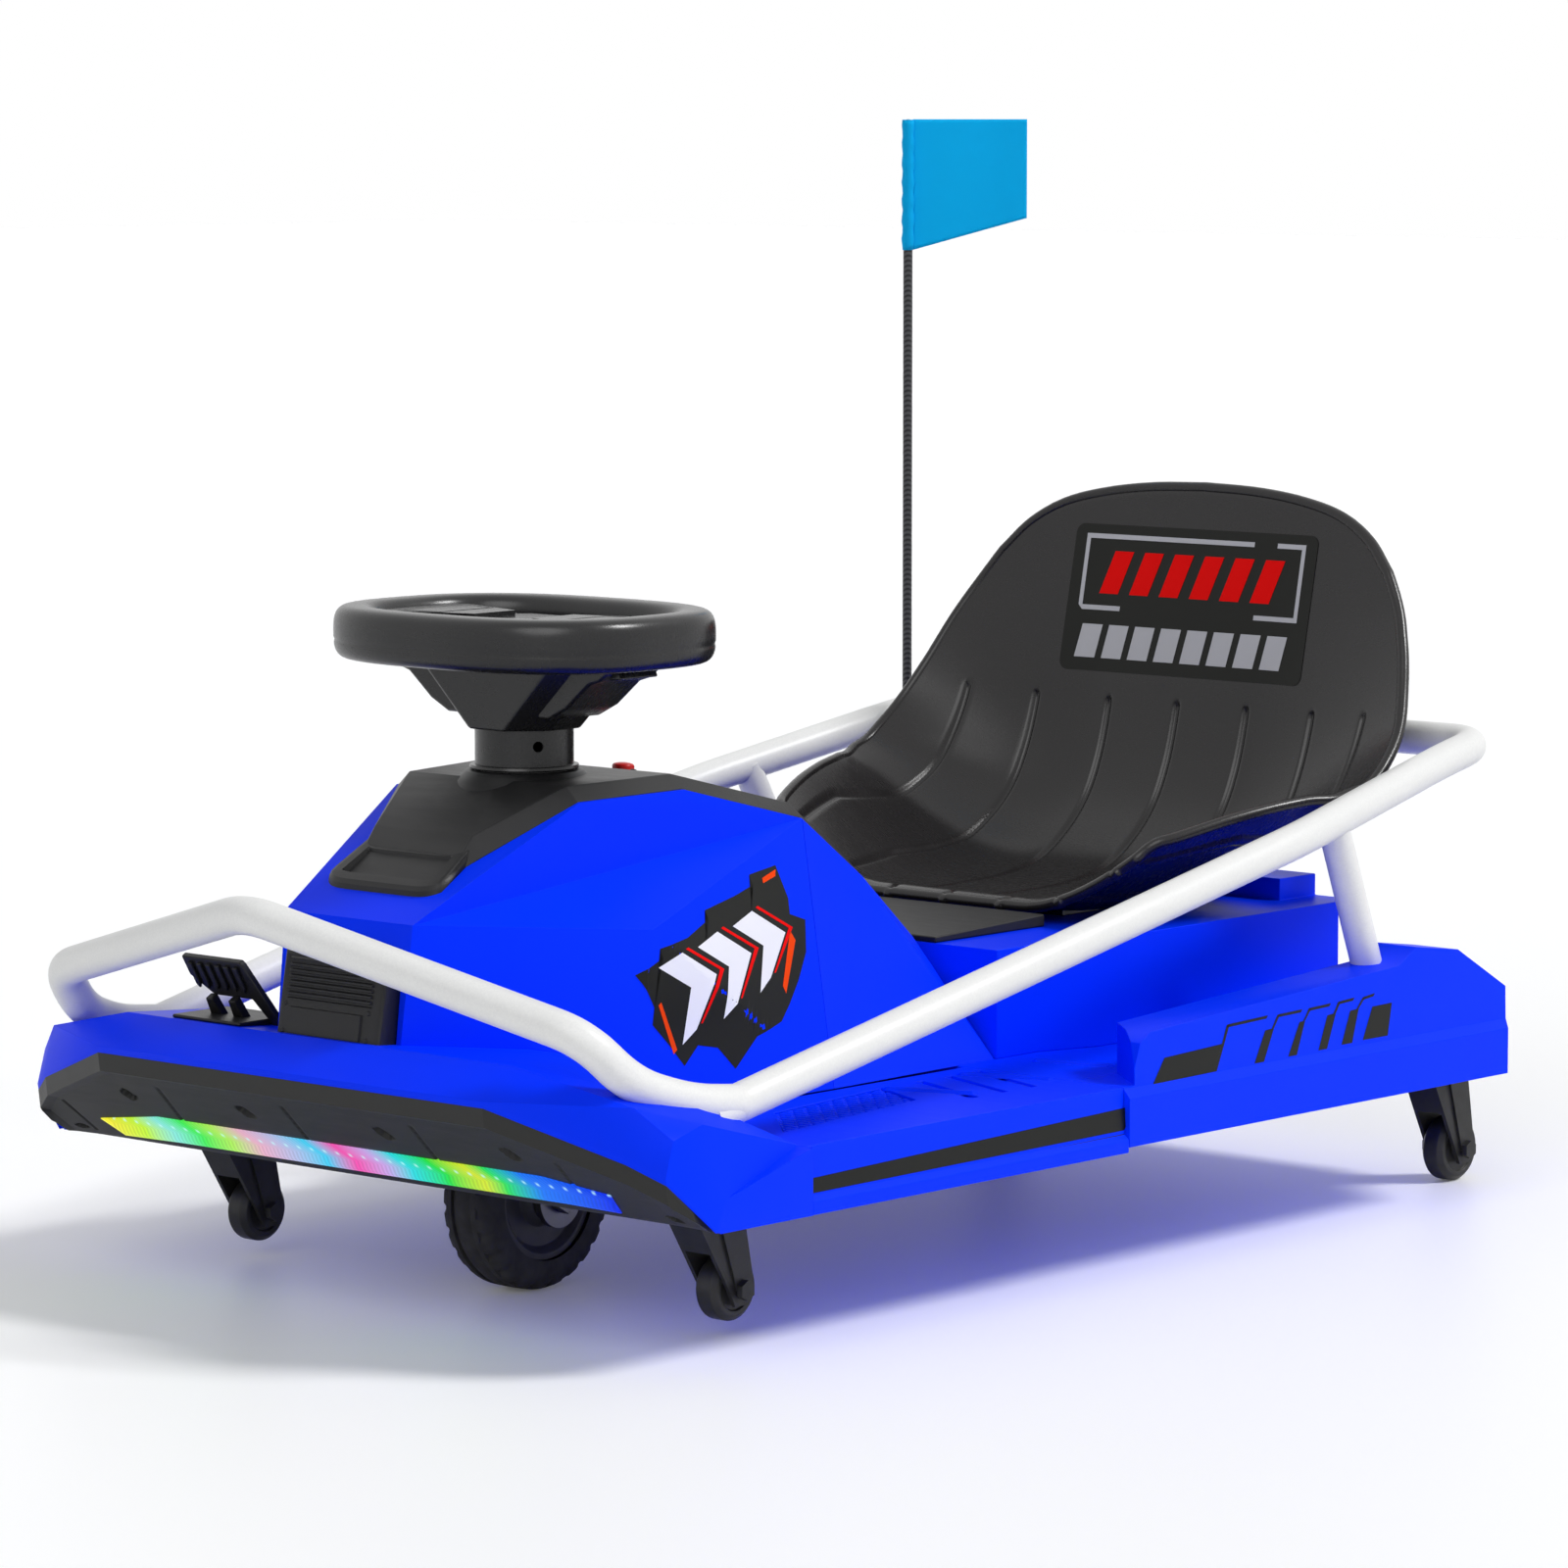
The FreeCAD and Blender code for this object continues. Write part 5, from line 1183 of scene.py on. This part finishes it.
        x, own = across(self.read(v * shoulder)[:, 5])
        arc = np.array(self.outline)[7:]
        rim_x, _ = across(np.array([arc[0, 0]]))
        crown = catmull(arc, np.linspace(0, len(arc) - 1, 200))
        rim_z = np.interp(np.abs(rim_x[0]), crown[::-1, 0], crown[::-1, 1])
        crown_place = np.interp(rim_z, height[up_there], places[up_there])
        place = v[:, None] * shoulder + v[:, None] ** 4 * (crown_place - shoulder)
        row = self.read(place)
        turn = np.radians(row[..., 2])
        lift = self.bowl(x, row[..., 3], row[..., 4])
        near = np.abs(x[:, :, None] - own[:, None]).min(-1)
        ease = np.clip((self.channel_top - row[..., 1]) / 5.0, 0, 1) * np.clip(0.35 + v[:, None] * 14.0, 0, 1)
        lift = lift - self.channel_depth * np.exp(-((near / 2.7) ** 4)) * ease
        points = np.stack([x, row[..., 0] - np.sin(turn) * lift, row[..., 1] + np.cos(turn) * lift], -1)
        shape = grid_object("bucket", placed(points))
        self.face_up(shape)
        smooth(shape, 60)
        modifier(shape, "SOLIDIFY", thickness=self.wall / 1000.0, offset=-1.0, use_rim=True)
        self.roll(points)
        return dress(shape, SEAT, "kart", ["seat_shell"])

    def roll(self, points: np.ndarray) -> Any:
        """Roll the rim: a circle in the plane of the surface's normal and the border's outward side."""
        normal = np.cross(np.gradient(points, axis=1), np.gradient(points, axis=0))
        normal /= np.linalg.norm(normal, axis=-1)[..., None]
        normal *= np.where(normal @ np.array([0.0, -0.5, 1.0]) < 0, -1.0, 1.0)[..., None]

        def border(grid: np.ndarray) -> np.ndarray:
            """Give the grid's border as one loop."""
            return np.concatenate([grid[0, :-1], grid[:-1, -1], grid[-1, :0:-1], grid[:0:-1, 0]])

        path, up = border(points), border(normal)
        keep = np.linalg.norm(path - np.roll(path, 1, 0), axis=1) > 0.4
        path, up = path[keep], up[keep]
        way = np.roll(path, -3, 0) - np.roll(path, 3, 0)
        out = np.cross(way, up)
        out /= np.linalg.norm(out, axis=1)[:, None]
        turn = np.linspace(0, 2 * math.pi, 15)[:-1][None, :, None]
        ring = (path - up * self.wall / 2)[:, None] + (
            np.cos(turn) * out[:, None] + np.sin(turn) * up[:, None]) * self.rim_radius
        return dress(smooth(grid_object("bucket_rim", placed(ring), wrap_rows=True, wrap_columns=True), 60), SEAT, "kart")

    @staticmethod
    def face_up(shape: Any) -> None:
        """Turn an open surface over where its faces look down or back."""
        normals = np.empty(len(shape.data.polygons) * 3)
        shape.data.polygons.foreach_get("normal", normals)
        if (normals.reshape(-1, 3) @ np.array([0.0, -0.5, 1.0])).sum() < 0:
            shape.data.flip_normals()

    def on_back(self, name: str, x: np.ndarray, z: np.ndarray, lift: float, finish: Finish) -> Any:
        """Lay a printed patch on the back.

        Args:
            name: the patch's name.
            x: grid of widths in millimetres.
            z: grid of heights in millimetres.
            lift: how far the patch stands off the back.
            finish: its finish.

        Returns:
            The patch, at y = back(z) - curl(x) - lift.
        """
        row = self.middle(z)
        y = row[..., 0] - np.sin(np.radians(row[..., 2])) * self.bowl(x, row[..., 3], row[..., 4]) - lift
        shape = grid_object(name, placed(np.stack([x, y, z], -1)))
        self.face_up(shape)
        return dress(smooth(shape, 60), finish, "kart")

    def bar(self, name: str, corners: Sequence[tuple[float, float]], lift: float, finish: Finish) -> Any:
        """Lay a four-cornered printed bar on the back, its corners blended bilinearly."""
        s, t = np.meshgrid(np.linspace(0, 1, 3), np.linspace(0, 1, 9), indexing="ij")
        a, b, c, d = (np.array(corner) for corner in corners)
        flat = (a * ((1 - s) * (1 - t))[..., None] + b * ((1 - s) * t)[..., None] + c * (s * t)[..., None]
                + d * (s * (1 - t))[..., None])
        return self.on_back(name, flat[..., 0], flat[..., 1], lift, finish)

    def label(self) -> None:
        """Print the label: a dark field, a broken pale frame and two rows of slanted bars."""
        z = np.concatenate([407 + 8 * (1 - np.cos(np.linspace(0, math.pi / 2, 7))), np.linspace(417, 520, 12),
                            530 - 8 * (1 - np.cos(np.linspace(math.pi / 2, 0, 7)))])
        over = np.clip(np.abs(z - 468.5) - 53.5, 0, 8.0)
        half = 120.0 + np.sqrt(64.0 - over**2)
        share = np.linspace(-1, 1, 33)
        self.on_back("label_field", half[:, None] * share, np.repeat(z[:, None], 33, 1), 0.6, PRINT_BLACK)
        frame = (
            ((-112, 518), (62, 518), (62, 522), (-112, 522)), ((86, 518), (116, 518), (116, 522), (86, 522)),
            ((-116, 462), (-112, 462), (-112, 522), (-116, 522)), ((112, 462), (116, 462), (116, 522), (112, 522)),
            ((-112, 458), (-72, 458), (-72, 462), (-116, 462)), ((70, 458), (116, 458), (116, 462), (70, 462)))
        for number, corners in enumerate(frame):
            self.bar("label_frame_%d" % number, corners, 0.9, PRINT_GREY)
        for number in range(6):
            left = -96 + number * 32
            self.bar("label_red_%d" % number, ((left, 472), (left + 20, 472), (left + 32, 508), (left + 12, 508)),
                     0.9, PRINT_RED)
        for number in range(8):
            left = -114 + number * 28
            self.bar("label_grey_%d" % number, ((left, 418), (left + 21, 418), (left + 26, 446), (left + 5, 446)),
                     0.9, PRINT_GREY)


Pairs = Sequence[tuple[float, float]]


@dataclass
class Stickers:
    """The printed stripes and the jagged motif on the blue mouldings."""

    lift: float = 0.35
    hood_planes: tuple[tuple[float, float, float], ...] = (
        (225.58657, -0.06588, -0.26913), (186.68878, 0.04739, -0.12480), (232.92887, 0.49363, -0.25372),
        (253.45227, -0.27832, -0.24123))

    def build(self) -> None:
        """Print the hood's motif and the stripes of the sills and pods."""
        for side, name in ((1.0, "left"), (-1.0, "right")):
            self.motif(side, name)
            self.sill(side, name)
            self.pod(side, name)

    def hood(self, y: np.ndarray, z: np.ndarray) -> np.ndarray:
        """Give the hood's half width, the least of its panels' planes a + b * y + c * z."""
        return np.min([a + b * y + c * z for a, b, c in self.hood_planes], axis=0)

    @staticmethod
    def sill_side(y: np.ndarray, z: np.ndarray) -> np.ndarray:
        """Give the sill's half width, which leans in as it rises and follows the nose ahead of Y -150."""
        return np.minimum(336.0 - (z - 116.0) * 2.0 / 35.0, 340.0 + np.minimum(y + 150.0, 0.0) * 0.4)

    @staticmethod
    def pod_side(y: np.ndarray, z: np.ndarray) -> np.ndarray:
        """Give the pod's half width, which leans in as it rises."""
        return 334.0 - (z - 150.0) * 4.0 / 76.0

    def ruled(self, name: str, low: Pairs, high: Pairs, side_face: Callable[[np.ndarray, np.ndarray], np.ndarray],
              finish: Finish, side: float = 1.0, layer: int = 0) -> Any:
        """Span two lines of points with a printed strip on a side of the kart.

        Args:
            name: the strip's name.
            low: the lower line's points, as place and height.
            high: the upper line's points, as many.
            side_face: gives the half width at a place and height.
            finish: the print.
            side: 1 for the left and -1 for its mirror image.
            layer: how many prints lie under it.

        Returns:
            The strip, (1 - t) * low + t * high between points set evenly between those given.
        """
        first, second = np.array(low, float), np.array(high, float)
        count = np.arange(len(first))
        fine = np.linspace(0, len(first) - 1, (len(first) - 1) * 6 + 1)
        lines = [np.stack([np.interp(fine, count, line[:, k]) for k in (0, 1)], -1) for line in (first, second)]
        t = np.linspace(0, 1, 13)[:, None, None]
        flat = (1 - t) * lines[0] + t * lines[1]
        half = side_face(flat[..., 0], flat[..., 1]) + self.lift * (1 + 0.6 * layer)
        shape = grid_object(name, placed(np.stack([side * half, flat[..., 0], flat[..., 1]], -1)))
        normals = np.empty(len(shape.data.polygons) * 3)
        shape.data.polygons.foreach_get("normal", normals)
        if (normals.reshape(-1, 3)[:, 0] * side).sum() < 0:
            shape.data.flip_normals()
        return dress(shape, finish, "kart")

    def motif(self, side: float, name: str) -> None:
        """Print a jagged dark field with three slanted arrowheads, their red flashes and two orange ticks."""
        def spot(pairs: Pairs) -> Pairs:
            """Stand pairs about the motif's middle."""
            return [(56.3 + 0.998 * u - 0.017 * v, 250.5 + 0.966 * v) for u, v in pairs]

        def bar(part: str, low: Pairs, high: Pairs, finish: Finish, layer: int) -> None:
            """Print one strip of the motif."""
            self.ruled("motif_%s_%s" % (part, name), spot(low), spot(high), self.hood, finish, side, layer)

        high = [(-96, 4), (-70, 15), (-72, 22), (-40, 27), (-12, 38), (-14, 45), (24, 52), (48, 58), (46, 66), (79, 70),
                (86, 44), (84, 32), (101, 26)]
        low = [(-92, -3), (-84, -22), (-88, -34), (-74, -50), (-60, -68), (-44, -54), (-24, -58), (-8, -76),
               (18, -54), (48, -46), (62, -34), (78, -18), (94, 2)]
        bar("field", low, high, PRINT_BLACK, 0)
        for number, left in enumerate((-76.0, -31.0, 14.0)):
            rise = 11.0 * number
            bar("arrow_%d" % number, [(left, 8 + rise), (left + 31, -10 + rise), (left + 16, -52 + rise * 1.35)],
                [(left + 26, 17 + rise), (left + 60, -3 + rise), (left + 32, -42 + rise * 1.35)], PRINT_WHITE, 1)
            bar("flash_%d" % number, [(left + 31, 19 + rise), (left + 65, 0 + rise), (left + 37, -38 + rise * 1.3)],
                [(left + 34, 20 + rise), (left + 70, 0 + rise), (left + 39, -38 + rise * 1.3)], PRINT_RED, 1)
        bar("tick_0", [(-80, -20), (-70, -58)], [(-77, -18), (-66, -55)], PRINT_ORANGE, 1)
        bar("tick_1", [(60, -26), (84, 12)], [(58, -20), (80, 20)], PRINT_ORANGE, 1)
        bar("tick_2", [(60, 58), (76, 62)], [(60, 62), (78, 67)], PRINT_ORANGE, 1)

    def sill(self, side: float, name: str) -> None:
        """Print the sill's broad tapering band and the thin line below it."""
        self.ruled("sill_band_" + name, [(-133.5, 116.9), (298, 119.2)], [(-142.7, 126.1), (312, 136.2)],
                   self.sill_side, PRINT_BLACK, side)
        self.ruled("sill_line_" + name, [(-127.4, 111.5), (297, 113.1)], [(-130.5, 114.0), (298, 116.4)],
                   self.sill_side, PRINT_BLACK, side)

    def pod(self, side: float, name: str) -> None:
        """Print the pod's front band, its slanted bars and the thin hooks over them."""
        shapes = [
            [(335, 149.5), (411, 150.5), (421, 170.6), (350, 168)], [(461, 151), (473, 151), (487, 175.5), (476, 175)],
            [(504, 151.5), (515, 151.5), (527, 177), (520, 176.7)], [(543, 152), (554, 152), (567, 178.6), (556, 178)],
            [(573, 153), (587, 153), (597, 179), (586, 178.4)], [(601, 153.6), (634, 153.6), (641, 179), (615, 178.5)],
            [(411, 150.5), (413.5, 150.5), (431.5, 184.5), (428, 184.5)],
            [(428, 182.5), (478, 184), (480, 186.2), (429, 184.7)],
            [(484, 175), (487, 175.5), (495.5, 185.4), (492, 185.2)], [(492, 183.4), (522, 184), (524, 186.2), (493, 185.5)],
            [(524, 176), (527, 177), (536, 186), (532.5, 186)], [(532.5, 184), (559, 184.8), (561, 187), (534, 186.2)],
            [(563.5, 178), (567, 178.6), (574, 187), (570.5, 187)], [(570.5, 185), (590, 186), (592, 188.2), (572, 187.2)],
            [(594, 178.6), (597, 179), (606.5, 187.2), (603, 187.2)],
            [(603, 185.2), (617, 186.6), (619, 188.8), (604.5, 187.4)]]
        for number, (a, b, c, d) in enumerate(shapes):
            self.ruled("pod_bar_%02d_%s" % (number, name), [a, b], [d, c], self.pod_side, PRINT_BLACK, side)


@dataclass
class Pennant:
    """The small flag on its wound rod."""

    kart: Kart
    pole: tuple[float, float] = (-286.0, 775.0)
    top: float = 872.0
    foot: float = 356.0
    radius: float = 4.0
    turn: float = 41.6
    length: float = 98.0
    height: float = 112.0

    def build(self) -> None:
        """Make the rod and the cloth."""
        self.rod()
        self.cloth()

    def rod(self) -> Any:
        """Turn the rod, a circle carried up Z with a rounded top."""
        turn = np.linspace(0, 2 * math.pi, 25)[:-1]
        z = np.concatenate([np.linspace(self.foot, self.top - 2, 40), self.top - 2 + np.array([0.8, 1.4, 1.8, 2.0])])
        r = np.concatenate([np.full(40, self.radius), self.radius * np.array([0.9, 0.7, 0.4, 0.05])])
        points = np.stack([
            self.pole[0] + r[:, None] * np.cos(turn), self.pole[1] + r[:, None] * np.sin(turn),
            np.repeat(z[:, None], 24, 1)], -1)
        shape = smooth(grid_object("wound_rod", placed(points), wrap_columns=True, cap=True), 45)
        return dress(shape, POLE, "kart", ["flag_pole"])

    def cloth(self) -> Any:
        """Hang the cloth from the rod.

        A point at share s along and t down stands at pole + along * length * s, its lower edge rising to the fly,
        and waves by a sine of s that grows from the rod.

        Returns:
            The cloth, which stands for its node.
        """
        angle = math.radians(self.turn)
        along = np.array([math.cos(angle), math.sin(angle), 0.0])
        out = np.array([math.sin(angle), -math.cos(angle), 0.0])
        s, t = np.meshgrid(np.linspace(0, 1, 49), np.linspace(0, 1, 33), indexing="ij")
        drop = self.height * (1.0 - 0.245 * s) * t
        base = np.array([self.pole[0], self.pole[1], self.top]) + along * (self.radius + 0.2)
        wave = 0.9 * np.sin(s * 7.0 + t * 1.2) * s
        points = base + s[..., None] * along * self.length + wave[..., None] * out
        points[..., 2] -= drop
        shape = smooth(grid_object("pennant_cloth", placed(points)), 80)
        modifier(shape, "SOLIDIFY", thickness=0.0006, offset=0.0)
        dress(shape, CLOTH, "kart", ["flag"])
        sleeve = self.sleeve()
        return shape

    def sleeve(self) -> Any:
        """Turn the cloth's sleeve about the rod, open at its foot and gathered at its top."""
        turn = np.linspace(0, 2 * math.pi, 33)[:-1]
        z = np.linspace(self.top - self.height, self.top - 0.4, 24)
        r = self.radius + 0.9 + 0.35 * np.sin(z * 0.9) + 0.25 * np.sin(z * 0.37)
        points = np.stack([self.pole[0] + r[:, None] * np.cos(turn), self.pole[1] + r[:, None] * np.sin(turn),
                           np.repeat(z[:, None], 32, 1)], -1)
        shape = smooth(grid_object("pennant_sleeve", placed(points), wrap_columns=True), 60)
        modifier(shape, "SOLIDIFY", thickness=0.0005, offset=0.0)
        return dress(shape, CLOTH, "kart")


@dataclass
class Studio:
    """The camera, the lamps, the world and the floor."""

    place: tuple[float, float, float] = (3.26715, -3.39023 + STEERING_AXIS, 0.88879)
    azimuth: float = 41.58251
    pitch: float = 6.16437
    focal: float = 145.4958

    def build(self) -> None:
        """Set up the camera, the lamps, the world and the floor."""
        self.camera()
        self.sun("key", (0.80, 0.53, 1.0), 2.1, 15.0)
        self.sun("fill", (0.45, -1.0, 0.80), 0.95, 40.0)
        self.world()
        self.floor()
        bpy.context.scene.view_settings.view_transform = "Standard"

    def camera(self) -> None:
        """Stand the camera where the photograph was taken, looking along its azimuth and pitch."""
        a, e = math.radians(self.azimuth), math.radians(self.pitch)
        ahead = np.array([-math.sin(a) * math.cos(e), math.cos(a) * math.cos(e), -math.sin(e)])
        right = np.array([math.cos(a), math.sin(a), 0.0])
        up = np.cross(right, ahead)
        lens = bpy.data.cameras.new("photograph")
        lens.sensor_width = 36.0
        lens.lens = self.focal
        lens.clip_end = 100.0
        camera = bpy.data.objects.new("photograph", lens)
        matrix = Matrix.Identity(4)
        for row in range(3):
            for column, way in enumerate((right, up, -ahead)):
                matrix[row][column] = way[row]
            matrix[row][3] = self.place[row]
        camera.matrix_world = matrix
        bpy.context.scene.collection.objects.link(camera)
        bpy.context.scene.camera = camera

    def sun(self, name: str, back: tuple[float, float, float], strength: float, spread: float) -> None:
        """Hang a broad even lamp that shines against a direction, its shadows softened over a spread in degrees."""
        light = bpy.data.lights.new(name, "SUN")
        light.energy = strength
        light.angle = math.radians(spread)
        lamp = bpy.data.objects.new(name, light)
        lamp.matrix_world = Vector(back).to_track_quat("Z", "Y").to_matrix().to_4x4()
        bpy.context.scene.collection.objects.link(lamp)

    def world(self) -> None:
        """Light the kart evenly, and show white to the camera and in reflections."""
        world = bpy.data.worlds.new("studio")
        world.use_nodes = True
        bpy.context.scene.world = world
        tree = world.node_tree
        tree.nodes.clear()
        path = wire(tree, "LightPath")
        shown = wire(tree, "Math", {0: path.outputs["Is Camera Ray"], 1: path.outputs["Is Glossy Ray"]},
                     operation="MAXIMUM")
        seen = wire(tree, "Math", {0: shown.outputs[0], 1: path.outputs["Is Transmission Ray"]}, operation="MAXIMUM")
        dim = wire(tree, "Background", values={"Color": (0.95, 0.97, 1.0, 1.0), "Strength": 0.32})
        white = wire(tree, "Background", values={"Color": (1.0, 1.0, 1.0, 1.0), "Strength": 1.0})
        mix = wire(tree, "MixShader", {0: seen.outputs[0], 1: dim.outputs[0], 2: white.outputs[0]})
        wire(tree, "OutputWorld", {"Surface": mix.outputs[0]})

    def floor(self) -> None:
        """Lay the pale floor, which looks white but keeps the kart's shadow."""
        reach = np.linspace(-30, 30, 9)
        x, y = np.meshgrid(reach, reach, indexing="ij")
        shape = grid_object("floor", np.stack([x, y, np.full_like(x, -0.0005)], -1))
        if shape.data.polygons[0].normal.z < 0:
            shape.data.flip_normals()
        material = bpy.data.materials.new("studio_floor")
        material.use_nodes = True
        tree = material.node_tree
        shader = tree.nodes["Principled BSDF"]
        shader.inputs["Base Color"].default_value = (0.95, 0.95, 0.95, 1.0)
        shader.inputs["Roughness"].default_value = 0.45
        shader.inputs["Specular IOR Level"].default_value = 0.15
        path = wire(tree, "LightPath")
        glow = wire(tree, "Emission", values={"Color": (1.0, 1.0, 1.0, 1.0)})
        level = wire(tree, "Math", {0: path.outputs["Is Camera Ray"]}, {1: 0.065}, operation="MULTIPLY")
        tree.links.new(level.outputs[0], glow.inputs["Strength"])
        both = wire(tree, "AddShader", {0: shader.outputs[0], 1: glow.outputs[0]})
        tree.links.new(both.outputs[0], tree.nodes["Material Output"].inputs["Surface"])
        shape.data.materials.append(material)


def main() -> None:
    """Build every sub-assembly in order."""
    logging.basicConfig(level=logging.INFO, format="%(name)s: %(message)s")
    kart = Kart(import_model())
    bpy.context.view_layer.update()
    Studio().build()
    for part in (Shell(kart), Guards(kart), Bumper(), Trim(kart), SteeringWheel(kart), DriveWheel(kart), Casters(kart),
                 BucketSeat(kart), Stickers(), Pennant(kart)):
        LOG.info("building %s", type(part).__name__)
        part.build()
    bpy.context.view_layer.update()


if __name__ == "__main__":
    main()
